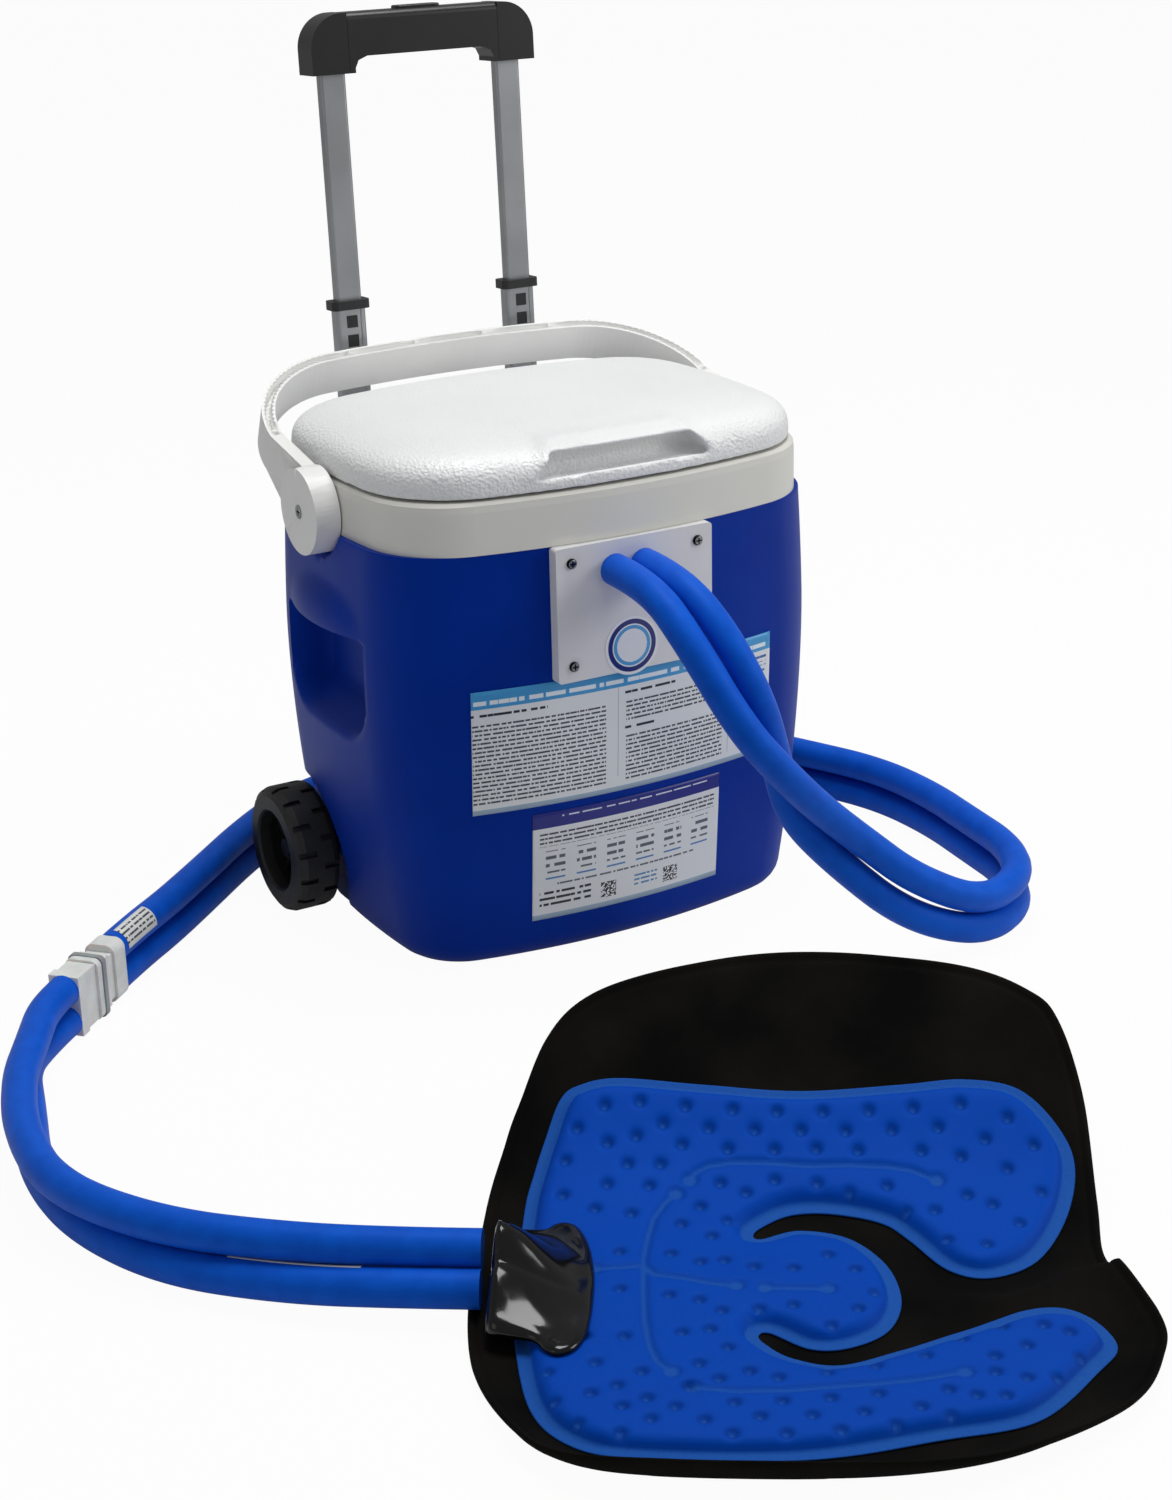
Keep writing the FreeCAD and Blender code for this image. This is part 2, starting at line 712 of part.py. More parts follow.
def make_lid():
    """Domed lid with a finger recess and hinge knuckles, and its plug."""
    base = float(hinge_height())
    rise = float(S.lid_rise)
    edge = float(S.lid_inset)
    wires = []
    for share, inset in LID_PROFILE:
        corner = max(float(S.lid_corner) - edge - inset, 36.0)
        wires.append(tub_wire(base + share * rise, edge + inset, corner))
    dome = Part.makeLoft(wires, True, True)
    front = -float(S.tub_half_depth) - 20
    inner = float(S.finger_inner) / 2
    reach = -float(S.finger_reach)
    slope = (float(S.finger_width) / 2 - inner) / (float(S.tub_half_depth) - 8 + reach)
    outer = inner + slope * (reach - front)
    recess = prism(
        ((-outer, front), (outer, front), (inner, reach), (-inner, reach)),
        base + float(S.finger_floor), rise, "XY",
    )
    corners = [e for e in recess.Edges if along(e, 2) and abs(middle(e, 1) - reach) < 0.01]
    dome = dome.cut(recess.makeFillet(10, corners))
    axis_y = float(S.hinge_y)
    radius = float(S.knuckle_r)
    half = float(S.knuckle_len) / 2
    for sx in (-1, 1):
        start = sx * float(S.hinge_x) - half
        knuckle = cylinder(start, axis_y, base, radius, 2 * half, Vector(1, 0, 0))
        neck = Part.makeBox(2 * half, 12, radius - 0.4, Vector(start, axis_y - 12, base + 0.4))
        dome = dome.fuse(knuckle).fuse(neck)
        bore = cylinder(start - 1, axis_y, base, S.pin_r + S.pin_fit, 2 * half + 2, Vector(1, 0, 0))
        dome = dome.cut(bore)
    node(shape("lid_form", dome.removeSplitter()), "lid_shell")

    plug_inset = float(S.skin_gap + S.liner_wall + S.plug_play)
    rim = float(rim_top())
    low = rim - float(S.plug_depth)

    def mouth_wire(z, inset):
        return bowed_wire(
            float(S.mouth_half_width) - inset, float(S.mouth_half_depth) - inset,
            float(S.mouth_corner) - inset / 2, float(S.side_bow), float(S.front_bow), z,
        )

    steps = ((low, plug_inset + 3), (low + 4, plug_inset), (rim + 0.3, plug_inset))
    plug = Part.makeLoft([mouth_wire(z, inset) for z, inset in steps], True, True)
    flange = Part.Face(mouth_wire(rim + 0.3, -11)).extrude(Vector(0, 0, float(S.lid_gap) - 0.5))
    node(shape("plug_form", plug.fuse(flange).removeSplitter()), "lid_liner")

    pins = []
    inside = float(S.knuckle_len / 2 + S.hinge_play + S.ear_len)
    for sx in (-1, 1):
        start = sx * float(S.hinge_x) - inside
        pins.append(cylinder(start, axis_y, base, S.pin_r, 2 * inside, Vector(1, 0, 0)))
    node(shape("hinge_pin_forms", Part.makeCompound(pins)), "hinge_pins")


# ---------------------------------------------------------------- carry handle
def arch_edges(offset):
    """The carry handle's outline in the XZ plane, moved inward: foot to foot."""
    half = float(S.bail_half_width) - offset
    height = float(S.bail_height) - offset
    corner = float(S.bail_corner) - offset
    crown = float(S.bail_crown) - offset
    centre = Vector(0, 0, height - crown)
    bend_x = half - corner
    bend = Vector(bend_x, 0, centre.z + math.sqrt((crown - corner) ** 2 - bend_x ** 2))
    touch = centre + (bend - centre).normalize() * crown
    spring = Vector(half, 0, bend.z)
    between = bend + ((touch + spring) / 2 - bend).normalize() * corner

    def mirror(p):
        return Vector(-p.x, 0, p.z)

    left = Vector(-half, 0, 0)
    return [
        Part.LineSegment(left, mirror(spring)).toShape(),
        Part.Arc(mirror(spring), mirror(between), mirror(touch)).toShape(),
        Part.Arc(mirror(touch), Vector(0, 0, height), touch).toShape(),
        Part.Arc(touch, between, spring).toShape(),
        Part.LineSegment(spring, mirror(left)).toShape(),
    ]


def arch_band(outer, inner, start, length):
    """Solid between two parallel arches, extruded along Y."""
    edges = arch_edges(outer) + arch_edges(inner)
    far = float(S.bail_half_width) - outer
    near = float(S.bail_half_width) - inner
    for side in (-1, 1):
        edges.append(Part.LineSegment(Vector(side * far, 0, 0), Vector(side * near, 0, 0)).toShape())
    face = Part.Face(Part.Wire(Part.__sortEdges__(edges)))
    face.translate(Vector(0, start, 0))
    return face.extrude(Vector(0, length, 0))


def make_bail():
    """Swinging carry handle: grooved strap with round pivot discs."""
    thick = float(S.bail_thick)
    wide = float(S.bail_wide)
    lip = float(S.bail_lip)
    deep = float(S.bail_groove)
    handle = arch_band(0, thick, -wide / 2, wide)
    half = float(S.bail_half_width)
    height = float(S.bail_height)
    ribs = [Part.makeBox(3, 80, 60, Vector(x - 1.5, -40, height - 40)) for x in (-96, -32, 32, 96)]
    ribs += [Part.makeBox(40, 80, 3, Vector(s * half - 20, -40, 82)) for s in (-1, 1)]
    foot = Part.makeBox(3 * half, 80, 44, Vector(-1.5 * half, -40, -1))
    for start in (-wide / 2 - 1, wide / 2 - deep):
        groove = arch_band(lip, thick - lip, start, deep + 1).cut(foot)
        for rib in ribs:
            groove = groove.cut(rib)
        handle = handle.cut(groove)
    eye = float(S.eye_r)
    inner = float(S.eye_inner)
    outer = float(S.eye_outer)
    flare = ((-eye * 0.87, eye * 0.5), (-wide / 2, 78), (wide / 2, 78), (eye * 0.87, eye * 0.5))
    for side in (-1, 1):
        way = Vector(side, 0, 0)
        handle = handle.fuse(cylinder(side * inner, 0, 0, eye, outer - inner, way))
        start = half - thick if side > 0 else -half
        handle = handle.fuse(prism(flare, start, thick, "YZ"))
    for side in (-1, 1):
        way = Vector(side, 0, 0)
        handle = handle.cut(cylinder(side * 150, 0, 0, S.pivot_r + S.pin_fit, 80, way))
        handle = handle.cut(cylinder(side * (outer - 2.6), 0, 0, S.pivot_head_r + 0.5, 20, way))
    handle = handle.removeSplitter()
    handle.rotate(Vector(0, 0, 0), Vector(1, 0, 0), -float(S.bail_tilt))
    handle.translate(Vector(0, float(S.pivot_y), float(S.pivot_z)))
    node(shape("bail_form", handle), "bail_handle")

    screws = []
    for side in (-1, 1):
        way = Vector(side, 0, 0)
        start = inner - float(S.pivot_hold) + 0.5
        seat = outer - 2.5
        shank = cylinder(side * start, S.pivot_y, S.pivot_z, S.pivot_r, seat - start, way)
        head = cylinder(side * seat, S.pivot_y, S.pivot_z, S.pivot_head_r, 2.8, way)
        face = Vector(side * (seat + 2.8), float(S.pivot_y), float(S.pivot_z))
        screws.append(cross_slot(shank.fuse(head), face, way, 3.4))
    node(shape("pivot_screw_forms", Part.makeCompound(screws)), "pivot_screws")


def cross_slot(screw, top, way, reach):
    """Cut a cross recess 1.6 mm deep into a screw head, from the middle of its face."""
    start = top - way * 1.6
    for wide, tall in ((reach * 2, 1.2), (1.2, reach * 2)):
        if way.x:
            low = Vector(min(start.x, top.x), start.y - wide / 2, start.z - tall / 2)
            slot = Part.makeBox(1.6, wide, tall, low)
        else:
            low = Vector(start.x - wide / 2, min(start.y, top.y), start.z - tall / 2)
            slot = Part.makeBox(wide, 1.6, tall, low)
        screw = screw.cut(slot)
    return screw.removeSplitter()


# ---------------------------------------------------------------- front plate and fittings
def make_plate():
    """Mounting plate for the hose fittings, fitted to the bowed front."""
    clear = shape("tub_clearance", tub_solid(-0.1))
    body = new_body("plate_block")
    left = S.plate_x - S.plate_width / 2
    right = S.plate_x + S.plate_width / 2
    low = S.plate_z - S.plate_height / 2
    top = S.plate_z + S.plate_height / 2
    face = -(S.tub_half_depth + S.plate_thick)
    pad(body, "XZ_Plane", face, -S.tub_half_depth + 25, box(left, right, low, top))
    holes = [(x, S.exit_z, S.fitting_r + 0.1) for x in (S.supply_x, S.return_x)]
    holes += [(x, z, S.screw_r + 0.1) for x, z in plate_screw_spots()]
    pocket(body, "XZ_Plane", face, -S.tub_half_depth + 25, *holes)
    round_off(body, 3, lambda edge: along(edge, 1))
    node(trim("front_plate_fitted", body, clear), "front_plate")

    back = Vector(0, 1, 0)
    y = float(face)
    screws = []
    for x, z in plate_screw_spots():
        shank = cylinder(x, y, z, S.screw_r, S.screw_length, back)
        head = cylinder(x, y - 2.6, z, S.screw_head_r, 2.6, back)
        head = head.makeFillet(1.6, [e for e in head.Edges if middle(e, 1) < y - 2.5 and e.Length > 20])
        top = Vector(float(x), y - 2.6, float(z))
        screws.append(cross_slot(shank.fuse(head), top, -back, 2.6))
    node(shape("plate_screw_forms", Part.makeCompound(screws)), "plate_screws")

    nuts = []
    inside = -float(S.mouth_half_depth - S.skin_gap - S.liner_wall)
    for x, name in ((S.supply_x, "supply_bulkhead"), (S.return_x, "return_bulkhead")):
        fitting = new_body(name + "_body")
        seat = face + S.fitting_reach
        pad(fitting, "XZ_Plane", face, seat, (x, S.exit_z, S.fitting_r))
        pad(fitting, "XZ_Plane", seat - 1, seat + 14, (x, S.exit_z, S.riser_r - 1.6))
        node(fitting, name)
        nut = cylinder(x, inside + 2.8, S.exit_z, S.nut_r, S.nut_thick, back)
        nuts.append(nut.cut(cylinder(x, inside - 5, S.exit_z, S.fitting_r + 0.05, 30, back)))
    node(shape("bulkhead_nut_forms", Part.makeCompound(nuts)), "bulkhead_nuts")

    disc = new_body("plate_disc_body")
    pad(disc, "XZ_Plane", face - S.sticker, face, (S.disc_x, S.disc_z, S.disc_r))
    node(disc, "plate_disc")

    grommet = new_body("power_gland_body")
    wall = S.tub_half_depth
    height = S.exit_z - 80
    pad(grommet, "XZ_Plane", wall - 14, wall + 0.2, (0, height, 5.9))
    pad(grommet, "XZ_Plane", wall + 0.2, wall + 4, (0, height, 10))
    pocket(grommet, "XZ_Plane", wall - 6, wall + 4, (0, height, 2.6))
    node(grommet, "power_gland")


LABELS = {
    "label_instructions": ((-147, 137), (-147, 241), (135, 241), (135, 154), (100, 137)),
    "label_catalogue": ((-91, 35), (-91, 130), (83, 130), (83, 35)),
}


def make_labels():
    """Blank paper labels on the bowed front."""
    skin = tub_solid(-0.1 - float(S.sticker)).cut(tub_solid(-0.1))
    for name, corners in LABELS.items():
        front = -float(S.tub_half_depth) - 20
        window = prism(corners, front, 60, "XZ")
        node(shape(name + "_form", skin.common(window)), name)


# ---------------------------------------------------------------- pump and tank pipes
def pipe_along(spots, radius, bend):
    """A round pipe along straight runs joined by arcs of one radius."""
    edges = []
    start = spots[0]
    for before, corner, after in zip(spots, spots[1:], spots[2:]):
        way_in = (corner - before).normalize()
        way_out = (after - corner).normalize()
        half = way_in.getAngle(way_out) / 2
        back = bend * math.tan(half)
        first = corner - way_in * back
        last = corner + way_out * back
        inward = (way_out - way_in).normalize()
        middle_spot = corner + inward * (bend / math.cos(half) - bend)
        edges.append(Part.LineSegment(start, first).toShape())
        edges.append(Part.Arc(first, middle_spot, last).toShape())
        start = last
    edges.append(Part.LineSegment(start, spots[-1]).toShape())
    path = Part.Wire(edges)
    ring = Part.Wire(Part.makeCircle(radius, spots[0], (spots[1] - spots[0]).normalize()))
    return path.makePipeShell([ring], True, False)


def make_pump():
    """Submersible pump, strainer, impeller and the pipes to the wall fittings."""
    x = S.supply_x
    spin_x = x + 20
    y = S.pump_y
    top = S.pump_low + S.pump_tall
    room = S.pump_low + S.impeller_tall + 4
    housing = new_body("pump_body")
    side = box(x - S.pump_half + 12, x + S.pump_half + 12, y - S.pump_back, y + S.pump_back)
    pad(housing, "XY_Plane", S.pump_low, top, side)
    round_off(housing, 9, lambda edge: along(edge, 2))
    pad(housing, "XY_Plane", top - 1, top + 10, (x, y, S.riser_r + 2))
    pocket(housing, "XY_Plane", S.pump_low, room, (spin_x, y, S.impeller_r + 2))
    pocket(housing, "XY_Plane", room, room + 14, (spin_x, y, S.shaft_r + 0.02))
    pocket(housing, "XY_Plane", top, top + 10, (x, y, S.riser_r + 0.1))
    node(housing, "pump_housing")

    strainer = new_body("strainer_body")
    low = S.pump_low - S.strainer_thick
    plate = box(x - S.pump_half + 10, x + S.pump_half + 14, y - S.pump_back - 2, y + S.pump_back + 2)
    pad(strainer, "XY_Plane", low, S.pump_low, plate)
    round_off(strainer, 9, lambda edge: along(edge, 2))
    slots = [
        box(spin_x + step - 1.5, spin_x + step + 1.5, y - 14, y + 14) for step in (-12, -6, 0, 6, 12)
    ]
    pocket(strainer, "XY_Plane", low, S.pump_low, *slots)
    node(strainer, "pump_strainer")

    shaft = DOC.addObject("Part::Cylinder", "shaft_pin")
    bind(shaft, "Radius", S.shaft_r)
    bind(shaft, "Height", S.impeller_tall + 14)
    shaft.Placement = Placement(Vector(float(spin_x), float(y), float(S.pump_low + 2)), Rotation())
    bind(shaft, "Placement.Base.x", spin_x)
    bind(shaft, "Placement.Base.y", y)
    bind(shaft, "Placement.Base.z", S.pump_low + 2)
    node(shaft, "impeller_shaft")

    centre = Placement(Vector(float(spin_x), float(y), float(S.pump_low + 2)), Rotation())
    rotor = new_body("impeller_body", centre)
    pad(rotor, "XY_Plane", 0, 2, (0, 0, S.impeller_r))
    pad(rotor, "XY_Plane", 1, S.impeller_tall, (0, 0, 5))
    blade = pad(rotor, "XY_Plane", 1, S.impeller_tall, box(4, S.impeller_r - 0.2, -1, 1))
    repeat_round(rotor, blade, "Z_Axis", 6)
    pocket(rotor, "XY_Plane", 0, S.impeller_tall, (0, 0, S.shaft_r + S.pin_fit))
    node(rotor, "impeller")

    seat = float(S.fitting_reach - S.tub_half_depth - S.plate_thick) + 14
    radius = float(S.riser_r)
    bend = float(S.riser_bend)
    ends = (
        ("riser_tube", S.supply_x, float(top)),
        ("return_drop_tube", S.return_x, float(S.exit_z) - 86),
    )
    for name, tube_x, foot in ends:
        spots = [Vector(float(tube_x), seat + 0.2, float(S.exit_z))]
        spots.append(Vector(float(tube_x), float(y), float(S.exit_z)))
        spots.append(Vector(spots[1].x, spots[1].y, foot))
        node(shape(name + "_form", pipe_along(spots, radius, bend)), name)


# ---------------------------------------------------------------- trolley
def make_trolley():
    """Outer tubes, bushes, brackets, inner tubes, grip and release."""
    half_w = S.outer_wide / 2
    half_d = S.outer_deep / 2
    wall = S.outer_wall
    in_w = S.inner_wide / 2
    in_d = S.inner_deep / 2
    tabs = []
    guides = []
    for side, name in ((-1, "left"), (1, "right")):
        x = side * S.tube_x
        tube = new_body("outer_tube_" + name + "_body", TROLLEY)
        pad(tube, "XY_Plane", S.outer_foot, S.outer_top, box(x - half_w, x + half_w, -half_d, half_d))
        round_off(tube, 3, lambda edge: along(edge, 2))
        hollow = box(x - half_w + wall, x + half_w - wall, wall - half_d, half_d - wall)
        pocket(tube, "XY_Plane", S.outer_foot, S.outer_top, hollow)
        openings = []
        for step in (0, 1):
            high = S.window_top - step * S.window_pitch
            openings.append(box(x - S.window / 2, x + S.window / 2, high - S.window_tall, high))
        pocket(tube, "XZ_Plane", -half_d - 1, wall - half_d + 0.5, *openings)
        flute = box(x + half_w - 6, x + half_w - 5, -half_d - 1, 0.5 - half_d)
        pocket(tube, "XY_Plane", S.outer_foot, S.outer_top, flute)
        node(tube, "outer_tube_" + name)

        bush = new_body("tube_bush_" + name + "_body", TROLLEY)
        bush_top = S.outer_top + S.bush_cap
        rim = box(x - S.bush_wide / 2, x + S.bush_wide / 2, -S.bush_deep / 2, S.bush_deep / 2)
        pad(bush, "XY_Plane", S.bush_low, bush_top, rim)
        round_off(bush, 5, lambda edge: along(edge, 2))
        seat = box(x - half_w - 0.1, x + half_w + 0.1, -half_d - 0.1, half_d + 0.1)
        pocket(bush, "XY_Plane", S.bush_low, S.outer_top, seat)
        play = S.slide_play
        throat = box(x - in_w - play, x + in_w + play, -in_d - play, in_d + play)
        pocket(bush, "XY_Plane", S.outer_top, bush_top, throat)
        node(bush, "tube_bush_" + name)

        for step in (0, 1):
            high = float(S.window_top) - step * float(S.window_pitch) - 0.2
            tab = Part.makeBox(
                float(S.window) - 0.4, float(wall) - 0.5, float(S.window_tall) - 0.4,
                Vector(float(x - S.window / 2) + 0.2, 0.3 - float(half_d), high - float(S.window_tall) + 0.4),
            )
            tab.Placement = TROLLEY.multiply(tab.Placement)
            tabs.append(tab)

        inner = new_body("inner_tube_" + name + "_body", TROLLEY)
        ring = box(x - in_w, x + in_w, -in_d, in_d)
        pad(inner, "XY_Plane", S.inner_foot, S.socket_top, ring)
        round_off(inner, 2.5, lambda edge: along(edge, 2))
        thin = S.inner_wall
        hollow = box(x - in_w + thin, x + in_w - thin, thin - in_d, in_d - thin)
        pocket(inner, "XY_Plane", S.inner_foot, S.socket_top, hollow)
        node(inner, "inner_tube_" + name)

        width = float(S.outer_wide - 2 * wall) - 0.3
        depth = float(S.outer_deep - 2 * wall) - 0.3
        guide = Part.makeBox(
            width, depth, 10, Vector(float(x) - width / 2, -depth / 2, float(S.inner_foot) - 10)
        )
        guide.Placement = TROLLEY.multiply(guide.Placement)
        guides.append(guide)
    node(shape("snap_tab_forms", Part.makeCompound(tabs)), "snap_tabs")
    node(shape("tube_guide_forms", Part.makeCompound(guides)), "tube_guides")

    clear = shape("tub_clearance_back", tub_solid(-float(S.skin_gap)))
    brackets = (
        ("upper_bracket", S.upper_low, S.upper_tall, 0),
        ("lower_bracket", S.lower_low, S.lower_tall, S.outer_foot - S.lower_low),
    )
    for name, low, tall, floor in brackets:
        bracket = new_body(name + "_body", TROLLEY)
        wide = S.bracket_half
        pad(bracket, "XY_Plane", low, low + tall, box(-wide, wide, -S.outer_deep - 30, S.bracket_back))
        round_off(
            bracket, S.bracket_round,
            lambda edge: along(edge, 2) and middle(edge, 1) > 0,
        )
        slots = []
        for side in (-1, 1):
            x = side * S.tube_x
            slots.append(box(x - half_w - 0.2, x + half_w + 0.2, -half_d - 0.2, half_d + 0.2))
        pocket(bracket, "XY_Plane", low + floor, low + tall, *slots)
        inset = S.tube_x - half_w - 8
        pocket(bracket, "XY_Plane", low, low + tall, box(-inset, inset, -half_d - 3, S.bracket_back + 1))
        height = low + tall / 2
        holes = [(side * S.bolt_x, height, S.bolt_r + 0.2) for side in (-1, 1)]
        pocket(bracket, "XZ_Plane", -S.outer_deep - 31, -half_d, *holes)
        node(trim(name + "_fitted", bracket, clear), name)

    bolts = []
    for spot, way in bolt_lines():
        shank = Part.makeCylinder(float(S.bolt_r), float(S.bolt_length), spot, way)
        head = Part.makeCylinder(float(S.bolt_head_r), 4, spot - way * 4, way)
        socket = Part.makeCylinder(2.5, 2.5, spot - way * 4, way)
        bolts.append(shank.fuse(head).cut(socket).removeSplitter())
    node(shape("bracket_bolt_forms", Part.makeCompound(bolts)), "bracket_bolts")


def make_grip():
    """Three-piece grip with a release button and its yoke."""
    deep = S.grip_deep / 2
    seam = S.grip_seam - S.seam_gap / 2
    inner = S.leg_inner
    foot = S.grip_foot
    top = S.grip_top
    under = S.grip_under
    channel_low = S.socket_top + 6
    channel_top = channel_low + S.yoke_tall + S.press + 1.5
    channel_deep = S.yoke_deep / 2 + 1
    centre = new_body("grip_center_body", TROLLEY)
    right = [(inner - 11, under), (inner - 3, under - 3), (inner, under - 9), (inner, foot), (seam, foot)]
    outline = right + [(seam, top)] + [(-x, z) for x, z in [(seam, top)] + right[::-1]]
    pad(centre, "XZ_Plane", -deep, deep, outline)
    round_off(centre, 6, lambda edge: along(edge, 0) and middle(edge, 2) > float(top) - 3)
    pocket(centre, "YZ_Plane", -seam, seam, box(-channel_deep, channel_deep, channel_low, channel_top))
    play = S.button_play
    slot = box(
        -S.button_half - play, S.button_half + play,
        -S.button_deep / 2 - play, S.button_deep / 2 + play,
    )
    button_low = top + S.button_proud - S.button_tall
    pocket(centre, "XY_Plane", button_low - S.press - 0.1, top, slot)
    node(centre, "grip_center")

    for side, name in ((-1, "left"), (1, "right")):
        end = new_body("grip_end_" + name + "_body", TROLLEY)
        near = side * (S.grip_seam + S.seam_gap / 2)
        far = side * S.grip_half
        pad(end, "XZ_Plane", -deep, deep, [(near, foot), (far, foot), (far, top), (near, top)])
        bound = float(S.grip_half) - 0.5
        round_off(
            end, S.grip_round,
            lambda edge: along(edge, 1) and abs(middle(edge, 0)) > bound and middle(edge, 2) > float(top) - 3,
        )
        x = side * S.tube_x
        in_w = S.inner_wide / 2 + 0.1
        in_d = S.inner_deep / 2 + 0.1
        pocket(end, "XY_Plane", foot, S.socket_top, box(x - in_w, x + in_w, -in_d, in_d))
        pocket(end, "XY_Plane", S.socket_top, channel_low + 1, (x, 0, S.rod_r + 0.6))
        reach = side * (S.tube_x + 5)
        low_x, high_x = (near, reach) if side > 0 else (reach, near)
        room = box(-channel_deep, channel_deep, channel_low, channel_top)
        pocket(end, "YZ_Plane", low_x, high_x, room)
        node(end, "grip_end_" + name)

    button = new_body("release_button_body", TROLLEY)
    half = S.button_half
    pad(
        button, "XY_Plane", button_low, button_low + S.button_tall,
        box(-half, half, -S.button_deep / 2, S.button_deep / 2),
    )
    round_off(button, 4, lambda edge: along(edge, 2))
    round_off(button, 1.5, lambda edge: middle(edge, 2) > float(top + S.button_proud) - 0.6)
    node(button, "release_button")

    yoke = new_body("release_yoke_body", TROLLEY)
    yoke_low = channel_low + S.press + 0.5
    span = S.tube_x + S.rod_r + 1
    flat = S.yoke_deep / 2
    pad(yoke, "XY_Plane", yoke_low, yoke_low + S.yoke_tall, box(-span, span, -flat, flat))
    pad(yoke, "XY_Plane", yoke_low + S.yoke_tall - 0.5, button_low, box(-4, 4, -flat, flat))
    rods = [(side * S.tube_x, 0, S.rod_r) for side in (-1, 1)]
    pad(yoke, "XY_Plane", S.rod_foot, yoke_low + 1, *rods)
    node(yoke, "release_yoke")


# ---------------------------------------------------------------- wheels
def make_wheel(side, name):
    """Treaded tyre on a spoked hub, axle stub and push-on cap."""
    centre = Placement(Vector(0, float(S.wheel_y), float(S.wheel_r)), Rotation())
    near = S.wheel_inner
    far = S.wheel_inner + S.wheel_width
    tread = S.wheel_r
    tyre = new_body("tyre_" + name + "_body", centre)
    bind(tyre, "Placement.Base.y", S.wheel_y)
    bind(tyre, "Placement.Base.z", S.wheel_r)
    bore = S.rim_r + S.rim_gap
    lip = S.dish_r
    profile = [
        (near + 0.5, bore), (near, tread - 9), (near + 4, tread - 1), (near + 8, tread),
        (far - 8, tread), (far - 3, tread - 2), (far, tread - 7), (far, lip + 1.5),
        (far - 2, lip), (far - 12, lip), (far - 12, bore),
    ]
    revolve(tyre, [(side * x, r) for x, r in profile])
    slot = S.lug_slot / 2
    floor = tread - S.lug_depth
    rows = ((far - 17, far + 1, 0.0), (near - 1, near + 17, math.pi / 14))
    for low, high, turn in rows:
        cosine = math.cos(turn)
        sine = math.sin(turn)
        corners = box(-slot, slot, floor, tread + 3)
        corners = [(y * cosine - z * sine, y * sine + z * cosine) for y, z in corners]
        first, last = (low, high) if side > 0 else (-high, -low)
        cut = pocket(tyre, "YZ_Plane", first, last, corners)
        repeat_round(tyre, cut, "X_Axis", 14)
    node(tyre, "tyre_" + name)

    hub = new_body("hub_" + name + "_body", centre)
    bind(hub, "Placement.Base.y", S.wheel_y)
    bind(hub, "Placement.Base.z", S.wheel_r)
    rim = S.rim_r
    ring = rim - 3.8
    boss = S.hub_r
    bore = S.axle_r + S.pin_fit
    edge = far - 12.2
    profile = [
        (near + 0.6, bore), (far - 15, bore), (far - 15, boss), (near + 13, boss + 1),
        (near + 13, ring), (edge, ring), (edge, rim), (near + 2.5, rim), (near + 2.5, ring),
        (near + 9, ring), (near + 9, boss + 1), (near + 0.6, boss),
    ]
    revolve(hub, [(side * x, r) for x, r in profile])
    low, high = (near + 12, near + 23) if side > 0 else (-near - 23, -near - 12)
    spoke = pad(hub, "YZ_Plane", low, high, box(-2.5, 2.5, boss - 1, ring + 1))
    repeat_round(hub, spoke, "X_Axis", 5)
    node(hub, "hub_" + name)

    way = Vector(side, 0, 0)
    start = float(near) - 20
    stub = cylinder(side * start, S.wheel_y, S.wheel_r, S.axle_r, 20 + float(S.axle_length), way)
    flange = cylinder(side * start, S.wheel_y, S.wheel_r, S.axle_flange, 19.6, way)
    arch = cylinder(side * 100, S.wheel_y, S.wheel_r, S.wheel_r + S.arch_play - 0.3,
                    float(S.arch_floor) - 100 + 0.1, way)
    body = tub_solid(-0.1).cut(wheel_arch(side, 0)).fuse(arch)
    axle = stub.fuse(flange).cut(body)
    axle = max(axle.Solids, key=lambda part: part.Volume)
    node(shape("axle_" + name + "_form", axle.removeSplitter()), "stub_axle_" + name)

    cap_start = float(far) - 15 + 0.3
    cap_end = float(near + S.axle_length) + 2
    cap = cylinder(side * cap_start, S.wheel_y, S.wheel_r, S.cap_r, cap_end - cap_start, way)
    hole = cylinder(side * (cap_start - 1), S.wheel_y, S.wheel_r, S.axle_r + 0.02,
                    float(near + S.axle_length) + 0.1 - cap_start + 1, way)
    node(shape("cap_" + name + "_form", cap.cut(hole)), "axle_cap_" + name)


# ---------------------------------------------------------------- hoses
NEAR_SUPPLY = (
    (-22, -155, 326), (-22, -210, 326), (-18, -259, 294), (6, -291, 232), (40, -296, 190),
    (78, -291, 151), (122, -289, 112), (163, -300, 75), (229, -303, 39), (287, -280, 39),
    (319, -226, 39), (326, -163, 39), (334, -95, 39), (329, -22, 39), (300, 45, 39), (267, 115, 39),
    (215, 175, 39), (140, 215, 39), (60, 232, 39), (-20, 234, 39), (-95, 228, 39), (-165, 203, 39),
    (-224, 157, 39), (-281, 103, 39), (-333, 55, 39), (-372.6, 23.12, 39), (-402, -4, 39),
)
NEAR_RETURN = (
    (4.2, -155, 326), (4.2, -210, 326), (12, -259, 295), (30, -281, 243), (53, -267, 188),
    (67, -266, 140), (102, -278, 97), (159, -295, 42), (229, -303, 12.9), (287, -280, 12.9),
    (319, -226, 12.9), (326, -163, 12.9), (334, -95, 12.9), (329, -22, 12.9), (300, 45, 12.9),
    (267, 115, 12.9), (215, 175, 12.9), (140, 215, 12.9), (60, 232, 12.9), (-20, 234, 12.9),
    (-95, 228, 12.9), (-165, 203, 12.9), (-224, 157, 12.9), (-281, 103, 12.9), (-333, 55, 12.9),
    (-372.6, 23.12, 12.9), (-402, -4, 12.9),
)
